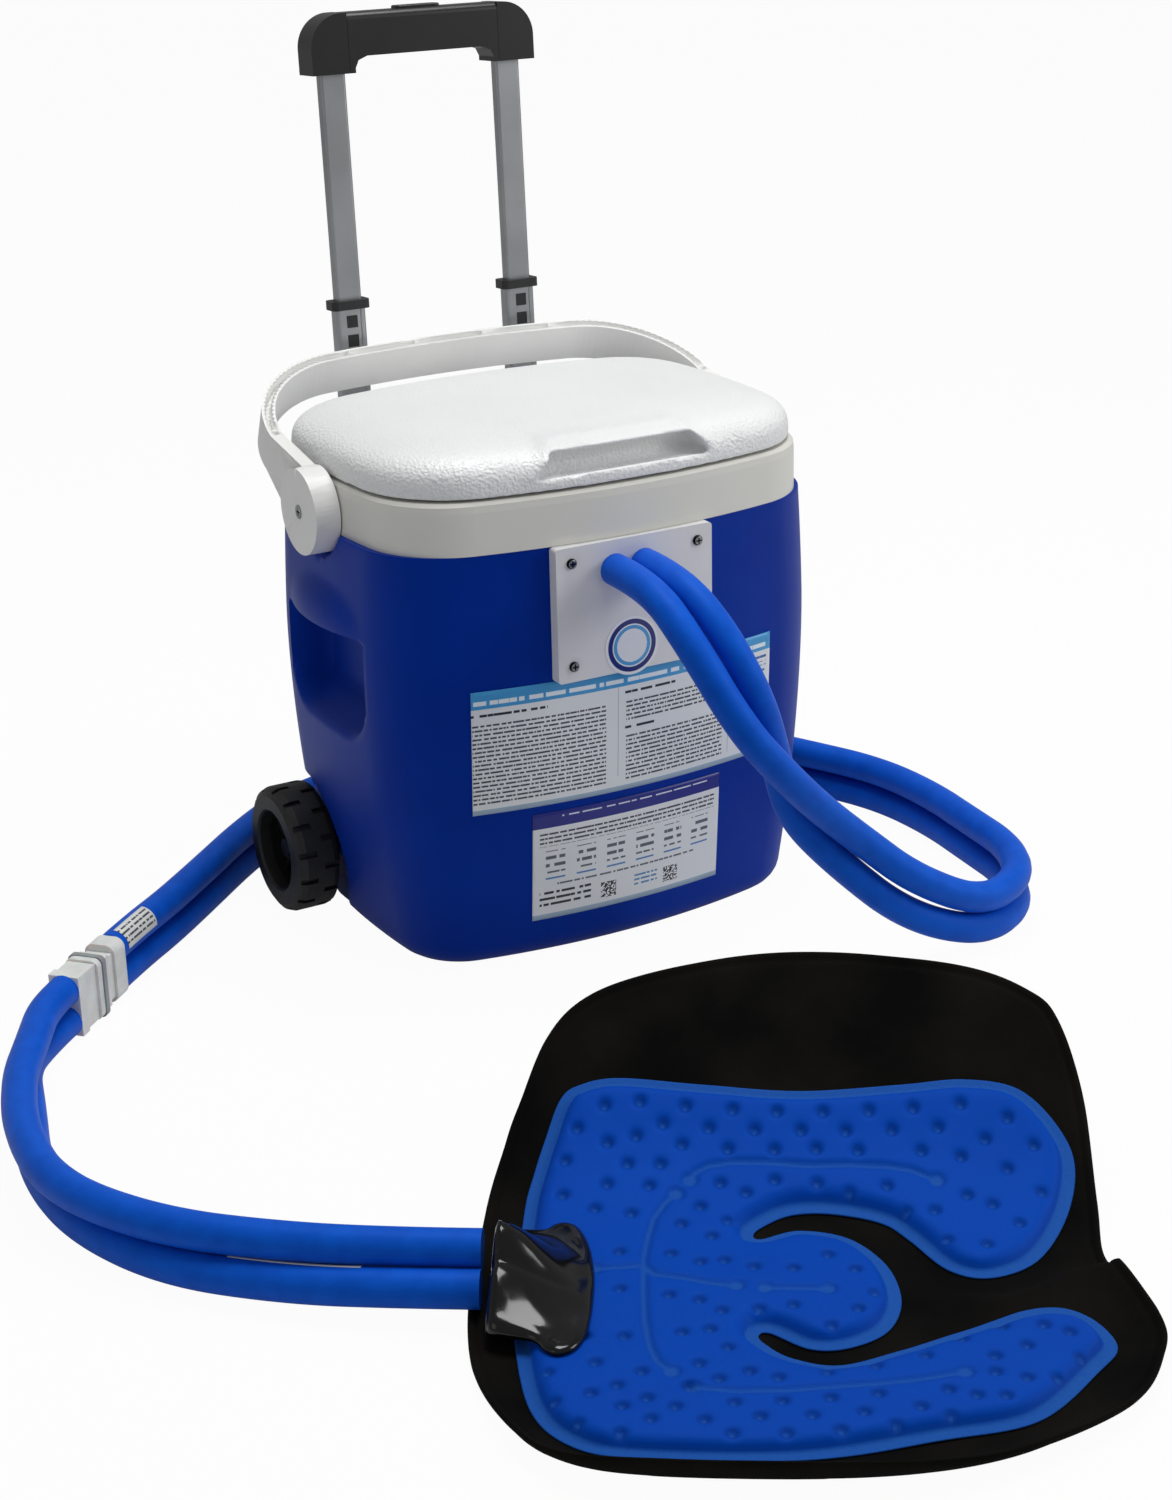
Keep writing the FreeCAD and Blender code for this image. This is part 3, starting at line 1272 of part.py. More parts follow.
FAR_SUPPLY = (
    (-457.125, -54.85, 39), (-480.645, -76.546, 39), (-503, -120, 39), (-533, -176, 39),
    (-555, -252, 39), (-558, -333, 39), (-516, -414, 39), (-452, -475, 39),
    (-390.59, -519.94, 39), (-352.01, -544.99, 39),
)
FAR_RETURN = (
    (-457.125, -54.85, 12.9), (-480.645, -76.546, 12.9), (-511, -111, 12.9), (-527, -174, 12.9),
    (-549, -252, 12.9), (-550, -335, 12.9), (-521, -421, 12.9), (-462, -488, 15),
    (-401.88, -534.76, 20.4), (-362.13, -560.58, 20.4),
)


def hose_path(points):
    """Straight runs joined by tangent arcs; returns the path and its smallest radius."""
    spots = [Vector(*point) for point in points]
    edges = []
    radii = []
    start = spots[0]
    for before, corner, after in zip(spots, spots[1:], spots[2:]):
        way_in = corner - before
        way_out = after - corner
        reach = 0.45 * min(way_in.Length, way_out.Length)
        way_in.normalize()
        way_out.normalize()
        half = way_in.getAngle(way_out) / 2
        radius = reach / math.tan(half)
        radii.append(radius)
        inward = (way_out - way_in).normalize()
        bend = corner + inward * (radius / math.cos(half) - radius)
        first = corner - way_in * reach
        last = corner + way_out * reach
        edges.append(Part.LineSegment(start, first).toShape())
        edges.append(Part.Arc(first, bend, last).toShape())
        start = last
    edges.append(Part.LineSegment(start, spots[-1]).toShape())
    return Part.Wire(edges), min(radii)


def make_hoses():
    """Twin insulated hoses: plate to coupling, and coupling to pad."""
    routes = (
        ("supply_hose_near", NEAR_SUPPLY),
        ("return_hose_near", NEAR_RETURN),
        ("supply_hose_far", FAR_SUPPLY),
        ("return_hose_far", FAR_RETURN),
    )
    radius = float(S.hose_r)
    for name, points in routes:
        path, tightest = hose_path(points)
        way = Vector(*points[1]) - Vector(*points[0])
        ring = Part.Wire(Part.makeCircle(radius, Vector(*points[0]), way))
        hose = path.makePipeShell([ring], True, False)
        share = hose.Volume / (math.pi * radius ** 2 * path.Length)
        print("%s: length %.0f, smallest radius %.0f, volume share %.4f" % (name, path.Length, tightest, share))
        node(shape(name + "_form", hose), name)


# ---------------------------------------------------------------- quick coupling
COUPLING_NEAR = Vector(-402, -4, 0)
COUPLING_WAY = Vector(-0.735, -0.678, 0)


def make_coupling():
    """Two-channel quick coupling with a sprung latch plate, lying between the hoses."""
    half = S.coupling_half
    turn = 180 + math.degrees(math.atan(COUPLING_WAY.y / COUPLING_WAY.x))
    middle_spot = COUPLING_NEAR + COUPLING_WAY * float(half)
    frame = Placement(middle_spot, Rotation(Vector(0, 0, 1), turn))
    low = S.lower_hose
    high = S.upper_hose
    foot = low - S.hose_r + 1
    top = high + S.hose_r - 1
    plate_low = -S.latch_thick / 2
    plate_high = S.latch_thick / 2
    gap = S.latch_gap

    first = new_body("coupling_cooler_body", frame)
    pad(first, "YZ_Plane", -half, -half + 17, box(-13, 13, foot, top))
    round_off(first, 8, lambda edge: along(edge, 0))
    pad(first, "YZ_Plane", -half + 16, -half + 27, box(-10.5, 10.5, foot + 6, top - 6))
    pad(first, "YZ_Plane", -half + 26, plate_low - gap, box(-12, 12, foot + 3, top - 3))
    nozzles = [(0, z, S.nozzle_r) for z in (low, high)]
    pad(first, "YZ_Plane", plate_low - gap - 1, plate_high + 11, *nozzles)
    pocket(first, "YZ_Plane", plate_low - 12, plate_high + 11, *[(0, z, S.nozzle_r - 1.4) for z in (low, high)])
    node(first, "coupling_cooler_half")

    second = new_body("coupling_pad_body", frame)
    pad(second, "YZ_Plane", plate_high + gap, plate_high + gap + 6, box(-14, 14, foot - 0.5, top + 0.5))
    round_off(second, 6, lambda edge: along(edge, 0))
    pad(second, "YZ_Plane", plate_high + gap + 5, half - 9, box(-11.5, 11.5, foot + 1.5, top - 1.5))
    pad(second, "YZ_Plane", half - 10, half, box(-12.7, 12.7, foot, top))
    sockets = [(0, z, S.nozzle_r + 0.1) for z in (low, high)]
    pocket(second, "YZ_Plane", plate_high, plate_high + 13, *sockets)
    node(second, "coupling_pad_half")

    latch = new_body("coupling_latch_body", frame)
    pad(latch, "YZ_Plane", plate_low, plate_high, box(-15, 15, foot - 1, top + 1))
    round_off(latch, 5, lambda edge: along(edge, 0))
    reach = S.nozzle_r + 0.3
    slots = [box(-reach - S.latch_travel, reach, z - reach, z + reach) for z in (low, high)]
    pocket(latch, "YZ_Plane", plate_low, plate_high, *slots)
    pad(latch, "YZ_Plane", plate_low, plate_high, box(-19, -14.5, low + 4, high - 4))
    node(latch, "coupling_latch")


# ---------------------------------------------------------------- water pad
PAD_FRAME = Placement(Vector(-200, -600, 0), Rotation(Vector(0, 0, 1), -33))
WRAP_OUTLINE = (
    (-165, 51), (-156, 108), (-148, 136), (-133, 179), (-110, 207), (-68, 226), (3, 241),
    (71, 244), (159, 235), (206, 217), (225, 195), (237, 140), (238, 66), (236, 18), (243, -12),
    (260, -55), (258, -95), (229, -151), (148, -206), (56, -232), (-50, -232), (-110, -205),
    (-150, -141), (-166, -58),
)
BLADDER_OUTLINE = (
    (-139, 51), (-135, 82), (-129, 109), (-120, 137), (-107, 147), (-80, 152), (-24, 148),
    (44, 144), (113, 149), (157, 153), (194, 146), (219, 119), (226, 90), (215, 47), (191, 4),
    (161, -14), (136, -6), (113, 26), (95, 43), (62, 51), (36, 49), (18, 38), (12, 30), (17, 26),
    (42, 35), (75, 27), (97, -1), (104, -41), (94, -74), (70, -92), (46, -94), (22, -78),
    (15, -80), (18, -88), (34, -103), (63, -110), (100, -94), (137, -75), (188, -55), (218, -60),
    (231, -86), (217, -112), (176, -162), (117, -182), (37, -204), (-53, -205), (-93, -193),
    (-119, -160), (-134, -90), (-139, -20),
)


def closed_curve(points, z):
    """Smooth closed outline through plan points."""
    curve = Part.BSplineCurve()
    curve.interpolate([Vector(x, y, z) for x, y in points], PeriodicFlag=True)
    return Part.Wire(curve.toShape())


def pad_edge(lift):
    """Points along the pad's section at one lift: front lip, flat, raised back."""
    back = float(S.pad_back_bend) - lift
    front = float(S.pad_front_bend) - lift
    rise = math.radians(float(S.pad_rise))
    flat = float(S.pad_rest)
    sine = math.sin(rise)
    cosine = math.cos(rise)
    run = 150
    front_end = Vector(0, -flat - front * sine, lift + front * (1 - cosine))
    back_end = Vector(0, back * sine, lift + back * (1 - cosine))
    half_front = Vector(0, -flat - front * math.sin(rise / 2), lift + front * (1 - math.cos(rise / 2)))
    half_back = Vector(0, back * math.sin(rise / 2), lift + back * (1 - math.cos(rise / 2)))
    tip_front = front_end + Vector(0, -cosine, sine) * 40
    tip_back = back_end + Vector(0, cosine, sine) * run
    return [
        Part.LineSegment(tip_front, front_end).toShape(),
        Part.Arc(front_end, half_front, Vector(0, -flat, lift)).toShape(),
        Part.LineSegment(Vector(0, -flat, lift), Vector(0, 0, lift)).toShape(),
        Part.Arc(Vector(0, 0, lift), half_back, back_end).toShape(),
        Part.LineSegment(back_end, tip_back).toShape(),
    ], tip_front, tip_back


def pad_slab(low, high):
    """A layer of the pad between two lifts, full width."""
    lower, lower_front, lower_back = pad_edge(low)
    upper, upper_front, upper_back = pad_edge(high)
    ends = [
        Part.LineSegment(lower_front, upper_front).toShape(),
        Part.LineSegment(lower_back, upper_back).toShape(),
    ]
    wire = Part.Wire(Part.__sortEdges__(lower + upper + ends))
    face = Part.Face(wire)
    face.translate(Vector(-300, 0, 0))
    return face.extrude(Vector(620, 0, 0))


def make_pad():
    """Neoprene wrap, blue bladder and the cover over the hose ends."""
    wrap_top = float(S.wrap_thick)
    low = wrap_top + float(S.pad_gap)
    high = low + float(S.bladder_thick)
    layers = (("pad_wrap", WRAP_OUTLINE, 0, wrap_top), ("pad_bladder", BLADDER_OUTLINE, low, high))
    for name, outline, bottom, top in layers:
        column = Part.Face(closed_curve(outline, -5)).extrude(Vector(0, 0, 250))
        layer = pad_slab(bottom, top).common(column)
        layer.Placement = PAD_FRAME.multiply(layer.Placement)
        node(shape(name + "_form", layer), name)

    left = float(S.cover_left)
    base = high + float(S.pad_gap)
    plan = (
        (left, 49), (-137, 51), (-116, 57), (-98, 42), (-92, 4), (-91, -45), (-97, -86),
        (-108, -99), (-126, -88), (-150, -72), (left, -70),
    )
    crest = float(S.upper_hose + S.hose_r) + 2
    column = prism(plan, 0, 100, "XY")
    side = (
        (left, base), (left, crest), (-138, crest - 3), (-112, crest - 16), (-96, base + 14), (-84, base + 5),
        (-84, base),
    )
    section = (
        (-110, base), (-110, base + 6), (-88, crest - 12), (-62, crest), (-10, crest), (26, crest - 8),
        (48, base + 16), (64, base + 4), (64, base),
    )
    lengthwise = prism(side, -150, 300, "XZ")
    crosswise = prism(section, -200, 200, "YZ")
    cover = column.common(lengthwise).common(crosswise).cut(pad_slab(-1, base))
    skirt_low = wrap_top + float(S.pad_gap)
    skirt = prism(((left, -70), (-143, -70), (-143, 49), (left, 49)), skirt_low, base + 6 - skirt_low, "XY")
    cover = cover.fuse(skirt.common(column).cut(pad_slab(-1, skirt_low))).removeSplitter()
    cover.Placement = PAD_FRAME.multiply(cover.Placement)
    node(shape("pad_cover_form", cover), "pad_cover")


# ---------------------------------------------------------------- build, test and write
def cuts_nothing(feature):
    """True for a cutting feature that takes no material off."""
    if feature.TypeId not in ("PartDesign::Pocket", "PartDesign::Groove"):
        return False
    base = feature.BaseFeature
    return base is None or feature.Shape.Volume > base.Shape.Volume - 1e-3


def main():
    """Build every piece, test it and write its STEP file."""
    make_tub()
    make_collar()
    make_lid()
    make_bail()
    make_plate()
    make_labels()
    make_pump()
    make_trolley()
    make_grip()
    for side, name in ((-1, "left"), (1, "right")):
        make_wheel(side, name)
    make_hoses()
    make_coupling()
    make_pad()
    DOC.recompute()
    for item in DOC.Objects:
        if "Invalid" in item.State or "Error" in item.State:
            raise RuntimeError("%s did not compute" % item.Name)
        if cuts_nothing(item):
            raise RuntimeError("%s cuts nothing" % item.Name)
    os.makedirs("parts", exist_ok=True)
    for item in NODES:
        solid = item.Shape
        if solid.isNull() or not solid.isValid() or not solid.Solids:
            raise RuntimeError("%s has no valid solid" % item.Label)
        solid.exportStep(os.path.join("parts", item.Label + ".step"))
    print("%d nodes" % len(NODES))


main()
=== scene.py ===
"""Hot and cold therapy machine: a wheeled cooler tank with its lid, carry handle and pull-out
trolley handle, twin foam-covered hoses with a quick coupling, and a wrap with a water bladder."""

import bmesh
import bpy
import math
import numpy as np
from mathutils import Matrix, Vector
from mathutils.geometry import delaunay_2d_cdt


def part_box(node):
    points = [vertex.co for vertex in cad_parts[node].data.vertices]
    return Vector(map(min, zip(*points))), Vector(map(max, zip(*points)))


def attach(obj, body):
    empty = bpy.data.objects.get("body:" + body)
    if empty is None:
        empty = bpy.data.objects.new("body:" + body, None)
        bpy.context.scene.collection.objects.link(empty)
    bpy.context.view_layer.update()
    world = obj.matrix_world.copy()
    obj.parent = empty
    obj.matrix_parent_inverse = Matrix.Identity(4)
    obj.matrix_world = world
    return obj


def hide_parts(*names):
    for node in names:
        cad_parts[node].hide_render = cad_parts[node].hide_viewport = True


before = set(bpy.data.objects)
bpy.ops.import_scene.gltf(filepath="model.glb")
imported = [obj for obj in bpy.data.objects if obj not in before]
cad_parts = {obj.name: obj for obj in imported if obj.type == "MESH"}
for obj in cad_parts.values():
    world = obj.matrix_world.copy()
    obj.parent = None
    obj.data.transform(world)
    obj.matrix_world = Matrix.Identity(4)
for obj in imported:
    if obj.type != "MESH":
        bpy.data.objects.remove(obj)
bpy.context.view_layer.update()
bpy.ops.object.select_all(action="DESELECT")

# ------------------------------------------------------------------ tub
# The tub is one blow-moulded wall of royal blue high-density polyethylene. Its mould is
# sandblasted, so the skin has a fine grain and a soft sheen instead of a gloss.


def srgb(code):
    """Linear colour of an sRGB hex code."""
    levels = [int(code[i:i + 2], 16) / 255 for i in (1, 3, 5)]
    return [v / 12.92 if v < 0.04045 else ((v + 0.055) / 1.055) ** 2.4 for v in levels] + [1]


def add(tree, kind, links=(), **settings):
    """Add a shader node with its settings, and its inputs as values or links."""
    item = tree.nodes.new("ShaderNode" + kind)
    for key, value in settings.items():
        setattr(item, key, value)
    for key, value in dict(links).items():
        if isinstance(value, bpy.types.NodeSocket):
            tree.links.new(value, item.inputs[key])
        else:
            item.inputs[key].default_value = value
    return item


def blank(name, **sockets):
    """A new material; returns it, its tree, its shader and its object coordinates."""
    material = bpy.data.materials.new(name)
    material.use_nodes = True
    tree = material.node_tree
    shader = tree.nodes["Principled BSDF"]
    for key, value in sockets.items():
        shader.inputs[key.replace("_", " ")].default_value = value
    place = add(tree, "TexCoord").outputs["Object"]
    return material, tree, shader, place


def mottle(tree, shader, place, low, high, scale, detail=3):
    """Colour that drifts between two shades over the piece."""
    drift = add(tree, "TexNoise", {"Vector": place, "Scale": scale, "Detail": detail})
    ramp = add(tree, "ValToRGB", {"Fac": drift.outputs["Fac"]})
    for stop, spot, code in zip(ramp.color_ramp.elements, (0.35, 0.65), (low, high)):
        stop.position = spot
        stop.color = srgb(code)
    tree.links.new(ramp.outputs["Color"], shader.inputs["Base Color"])


def emboss(tree, shader, height, depth, strength):
    """Bump by a height; the depth is in metres."""
    bump = add(tree, "Bump", {"Height": height, "Distance": depth, "Strength": strength})
    tree.links.new(bump.outputs["Normal"], shader.inputs["Normal"])


def grain(tree, shader, place, pitch, depth, strength=0.5, detail=2):
    """Bump of moulded grain: pitch and depth in metres."""
    rough = add(tree, "TexNoise", {"Vector": place, "Scale": 1 / pitch, "Detail": detail})
    emboss(tree, shader, rough.outputs["Fac"], depth, strength)


def dress(material, *names):
    """Give CAD nodes or new pieces a finish."""
    for name in names:
        piece = bpy.data.objects[name]
        piece.data.materials.clear()
        piece.data.materials.append(material)


def plain_finish(name, tones, skin, *pieces, **sockets):
    """A plain finish: two tones and how fast they drift; pitch, depth and strength of the grain."""
    material, tree, shader, place = blank(name, **sockets)
    mottle(tree, shader, place, *tones)
    grain(tree, shader, place, *skin)
    dress(material, *pieces)
    return material


BLUE_SHEEN = srgb("#4686FF")
TUB_HALF = (0.192, 0.149)
TUB_CORNER = 0.0735
TUB_BOWS = (0.699, 0.617)
TUB_TOP = 0.350
FOOT_LEAN, LEAN_TOP = 0.015, 0.260
FOOT_ROUND = 0.018
SWELL, SWELL_LEVEL, SWELL_REACH = 0.013, 0.190, 0.226
LIP_LEVEL = 0.273
SCOOP_Y = (-0.067, 0.068)
SCOOP_FOOT = 0.185
SCOOP_STRAIGHT = 0.060
SCOOP_FLOOR = 0.169
SCOOP_CORNER = 0.038
SCOOP_EDGE = (-0.003, 0.010)
LIP_HALF = (0.076, 0.036)
LIP_CENTRE = LIP_LEVEL + 0.0072
LIP_ROOT = 0.182
LIP_OUT = 0.0293
LIP_BLEND = 0.0022
LIP_EDGE = 0.0025
WHEEL_HUB = (0.075, 0.054)
PIVOT = (0.004, 0.365)
HOLLOWS = ((WHEEL_HUB, 0.0605, 0.1735), (PIVOT, 0.0365, 0.1930))
HOLLOW_EDGE = (-0.0015, 0.0025)
SIDE_START = 0.12
MOUTH_HALF = (0.163, 0.120)
MOUTH_CORNER = 0.045
FOAM_TAPER = 0.008 / 0.363
RIM_LEVEL = 0.391


def bowed_arcs(half_width, half_depth, corner, bows):
    """Arcs of one quarter of a bowed rectangle: centre, radius, first and last turn."""
    side_bow, front_bow = bows
    front = np.array((0, half_depth - front_bow))
    side = np.array((half_width - side_bow, 0))
    span = side - front
    reach = np.hypot(*span)
    along = ((front_bow - corner) ** 2 - (side_bow - corner) ** 2 + reach ** 2) / (2 * reach)
    off = math.sqrt((front_bow - corner) ** 2 - along ** 2)
    unit = span / reach
    centre = front + unit * along + np.array((-unit[1], unit[0])) * off
    if min(centre) < 0:
        centre = front + unit * along - np.array((-unit[1], unit[0])) * off
    turn_side = math.atan2(*(centre - side)[::-1])
    turn_front = math.atan2(*(centre - front)[::-1])
    return (
        (side, side_bow, 0, turn_side), (centre, corner, turn_side, turn_front),
        (front, front_bow, turn_front, math.pi / 2),
    )


def bowed_ring(half_width, half_depth, corner, bows, level, counts):
    """Points round a rectangle with bowed sides and tangent corner arcs, at one level."""
    quarter = []
    arcs = bowed_arcs(half_width, half_depth, corner, bows)
    for (spot, radius, start, end), count in zip(arcs, counts):
        for turn in np.linspace(start, end, count, endpoint=False):
            quarter.append(spot + radius * np.array((math.cos(turn), math.sin(turn))))
    quarter = np.array(quarter)
    left = np.vstack((np.array([[0, half_depth]]), quarter[:0:-1])) * (-1, 1)
    half = np.vstack((quarter, left))
    ring = np.vstack((half, -half))
    return np.column_stack((ring, np.full(len(ring), level)))


def tub_inset(level):
    """How far the wall leans in towards the floor."""
    inset = FOOT_LEAN * max(0.0, 1 - level / LEAN_TOP) ** 1.5
    if level < FOOT_ROUND:
        inset += FOOT_ROUND - math.sqrt(FOOT_ROUND ** 2 - (FOOT_ROUND - level) ** 2)
    return inset


def tub_swell(level):
    """How far the sides swell beyond the rim line."""
    return SWELL * (1 - ((level - SWELL_LEVEL) / SWELL_REACH) ** 2)


def tub_sizes(level):
    """Half width, half depth, corner and bows of the tub at a level."""
    inset = tub_inset(level)
    return (
        TUB_HALF[0] - inset + tub_swell(level), TUB_HALF[1] - inset, max(TUB_CORNER - inset, 0.02),
        (TUB_BOWS[0] - inset, TUB_BOWS[1] - inset),
    )


def step(value, low, high):
    """Smooth step from 0 at low to 1 at high."""
    share = np.clip((value - low) / (high - low), 0, 1)
    return share * share * (3 - 2 * share)


def side_shape(spots):
    """Shape both sides: swollen lifting lip, hand recess under it, wheel hollow, disc hollow."""
    x, y, z = spots.T
    out = np.abs(x)
    middle = sum(SCOOP_Y) / 2
    round_lip = 1 - ((y - middle) / LIP_HALF[0]) ** 2 - ((z - LIP_CENTRE) / LIP_HALF[1]) ** 2
    swelling = LIP_ROOT + LIP_OUT * np.sqrt(np.clip(round_lip, 0, 1))
    proud = np.log1p(np.exp((swelling - out) / LIP_BLEND)) * LIP_BLEND
    out = out + np.where((z > LIP_LEVEL - 0.004) & (round_lip > -0.2), proud, 0)
    run = np.clip((LIP_LEVEL - SCOOP_STRAIGHT - z) / (LIP_LEVEL - SCOOP_STRAIGHT - SCOOP_FOOT), 0, 1)
    floor = SCOOP_FLOOR + (out - SCOOP_FLOOR) * run
    across = np.abs(y - middle) - ((SCOOP_Y[1] - SCOOP_Y[0]) / 2 - SCOOP_CORNER)
    down = (SCOOP_FOOT + SCOOP_CORNER) - z
    past = np.hypot(np.maximum(across, 0), np.maximum(down, 0)) - SCOOP_CORNER
    past = np.where((across < 0) & (down < 0), np.maximum(across, down) - SCOOP_CORNER, past)
    scoop = step(-past, *SCOOP_EDGE) * (1 - step(z, LIP_LEVEL - LIP_EDGE, LIP_LEVEL + LIP_EDGE))
    out = out + (np.minimum(floor, out) - out) * scoop
    for (spot_y, spot_z), radius, limit in HOLLOWS:
        hollow = 1 - step(np.hypot(y - spot_y, z - spot_z) - radius, *HOLLOW_EDGE)
        out = out + (np.minimum(limit, out) - out) * hollow
    side = np.abs(x) > SIDE_START
    return np.column_stack((np.where(side, np.sign(x) * out, x), y, z))


def new_piece(name, mesh, angle=None):
    """An object for a mesh, smooth over edges below an angle in degrees, or over every edge."""
    piece = bpy.data.objects.new(name, mesh)
    bpy.context.scene.collection.objects.link(piece)
    bpy.context.view_layer.objects.active = piece
    piece.select_set(True)
    if angle:
        bpy.ops.object.shade_smooth_by_angle(angle=math.radians(angle))
    else:
        bpy.ops.object.shade_smooth()
    bpy.ops.object.select_all(action="DESELECT")
    return piece


def build_rings(name, rings):
    """A closed piece from rings of equal count, first ring at one end, last at the other."""
    count = len(rings[0])
    shape = bmesh.new()
    rows = [[shape.verts.new(spot) for spot in ring] for ring in rings]
    for low, high in zip(rows, rows[1:]):
        for i in range(count):
            j = (i + 1) % count
            shape.faces.new((low[i], low[j], high[j], high[i]))
    shape.faces.new(rows[0][::-1])
    shape.faces.new(rows[-1])
    bmesh.ops.recalc_face_normals(shape, faces=shape.faces)
    mesh = bpy.data.meshes.new(name)
    shape.to_mesh(mesh)
    shape.free()
    return new_piece(name, mesh, 50)


# The levels lie closer together round the foot and under the lip, where the wall bends most.
levels = [FOOT_ROUND * (1 - math.cos(math.radians(turn))) for turn in range(0, 91, 15)]
levels += list(np.arange(0.0225, 0.262, 0.0042))
levels += list(np.arange(0.2655, 0.282, 0.0011))
levels += list(np.arange(0.285, 0.348, 0.0035)) + [0.3478, TUB_TOP - 0.0006]
RING_COUNTS = (26, 22, 20)
rings = [side_shape(bowed_ring(*tub_sizes(level), level, RING_COUNTS)) for level in levels]
rings.append(rings[-1] * (0.9985, 0.9985, 1) + (0, 0, 0.0006))
INNER_STEPS = (
    (TUB_TOP, 0), (0.300, 0), (0.200, 0), (0.100, 0), (0.038, 0), (0.031, 0.004), (0.028, 0.010),
)
for level, inset in INNER_STEPS:
    inset += FOAM_TAPER * (RIM_LEVEL - level)
    rings.append(bowed_ring(
        MOUTH_HALF[0] - inset, MOUTH_HALF[1] - inset, MOUTH_CORNER - inset / 2,
        (TUB_BOWS[0] - inset, TUB_BOWS[1] - inset), level, RING_COUNTS,
    ))
tub = build_rings("cooler_tub", rings)
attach(tub, "cooler")
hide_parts("tub_shell", "insulation_foam")
plain_finish(
    "blow-moulded HDPE, royal blue", ("#012A8E", "#022F98", 9), (0.0011, 0.00022, 0.55),
    "cooler_tub", "upper_bracket", Roughness=0.47, IOR=1.4, Specular_Tint=BLUE_SHEEN,
)

# ------------------------------------------------------------------ tank inside
# The liner is one white polyethylene moulding that drops into the tub's foam-filled wall.
# The pump stands on the liner's floor with its two tubes.

plain_finish(
    "moulded HDPE, white", ("#DCDEDD", "#E3E4E2", 6), (0.002, 0.0001, 0.3), "tank_liner", "lid_liner",
    Roughness=0.34, IOR=1.54,
)
plain_finish(
    "moulded ABS, black", ("#131416", "#191A1C", 30), (0.0006, 0.00008, 0.4), "pump_housing",
    "supply_bulkhead", "return_bulkhead", "bulkhead_nuts", "power_gland", "lower_bracket",
    "stub_axle_left", "stub_axle_right", "snap_tabs", "tube_bush_left", "tube_bush_right",
    Roughness=0.42, IOR=1.53,
)

pump_grey, tree, shader, place = blank("moulded acetal, grey", Roughness=0.38, IOR=1.48)
mottle(tree, shader, place, "#6D7073", "#787B7E", 40)
dress(pump_grey, "pump_strainer", "impeller", "tube_guides")

clear_tube, tree, shader, place = blank(
    "extruded vinyl tube, clear", Roughness=0.12, IOR=1.52, Transmission_Weight=0.7
)
shader.inputs["Base Color"].default_value = srgb("#E3EAEC")
grain(tree, shader, place, 0.004, 0.0001, 0.2)
dress(clear_tube, "riser_tube", "return_drop_tube")

# ------------------------------------------------------------------ collar
# The collar is an injection-moulded ring of warm white polypropylene that caps the tub and
# carries the hinge and the two handle bosses.

plain_finish(
    "injection-moulded PP, warm white", ("#DAD9D2", "#DFDED7", 7), (0.0007, 0.00004, 0.3), "collar",
    Roughness=0.37, IOR=1.49,
)

# ------------------------------------------------------------------ lid
# The lid is blow-moulded white polyethylene. Its mould is etched with a leather-like pebble
# round the skirt and the finger recess, and with a finer grain over the crown.

lid_hdpe, tree, shader, place = blank("blow-moulded HDPE, white, pebbled", Roughness=0.4, IOR=1.54)
mottle(tree, shader, place, "#E6E7E8", "#EAEBEB", 8)
LID_BASE = 0.393
LID_RISE = 0.0375
LID_CROWN = LID_BASE + 0.0325
LID_EDGE, LID_SHOULDER = 0.001, 0.104
LID_CORNERS = (0.084, 0.036)
PLATE_X = -0.0037
BROW_WIDTHS = (0.174, 0.122)
POCKET_WIDTHS = (0.153, 0.124)
BROW_PROUD = 0.0034
HINGE_Y = 0.1535
KNUCKLE_X = 0.045
KNUCKLE_HALF = 0.006
KNUCKLE_RADIUS = 0.0046
NECK_Y = 0.140
BORE_RADIUS = 0.0021
FRONT = -TUB_HALF[1]


def dome_rings(proud):
    """Rings of the lid's form, moved outward: upright skirt, round shoulder, flat crown."""
    rings = []
    for turn in np.radians(np.linspace(0, 90, 31)):
        rise = math.sin(turn) ** (2 / 3.85)
        inset = LID_EDGE + LID_SHOULDER * (1 - math.cos(turn) ** (2 / 2.5))
        corner = max(LID_CORNERS[0] - inset, LID_CORNERS[1])
        inset -= proud
        rings.append(bowed_ring(
            TUB_HALF[0] - inset, TUB_HALF[1] - inset, corner + proud,
            (TUB_BOWS[0] - inset, TUB_BOWS[1] - inset), LID_BASE + rise * (LID_RISE + proud),
            (18, 20, 18),
        ))
    return rings


def flared_block(name, profile, foot, top):
    """A block along X from a YZ profile; its width changes evenly from foot to top level."""
    (foot_level, foot_width), (top_level, top_width) = foot, top
    ends = []
    for side in (-1, 1):
        end = []
        for y, z in profile:
            width = foot_width + (top_width - foot_width) * (z - foot_level) / (top_level - foot_level)
            end.append((PLATE_X + side * width / 2, y, z))
        ends.append(np.array(end))
    return build_rings(name, ends)


def apply(piece, kind, **settings):
    """Add a modifier with its settings and apply it."""
    change = piece.modifiers.new(kind.lower(), kind)
    for key, value in settings.items():
        setattr(change, key, value)
    bpy.context.view_layer.objects.active = piece
    bpy.ops.object.modifier_apply(modifier=change.name)


def combine(piece, tool, operation):
    """Join, cut or cross a piece with a tool, which is used up."""
    apply(piece, "BOOLEAN", operation=operation, solver="EXACT", object=tool)
    bpy.data.meshes.remove(tool.data)


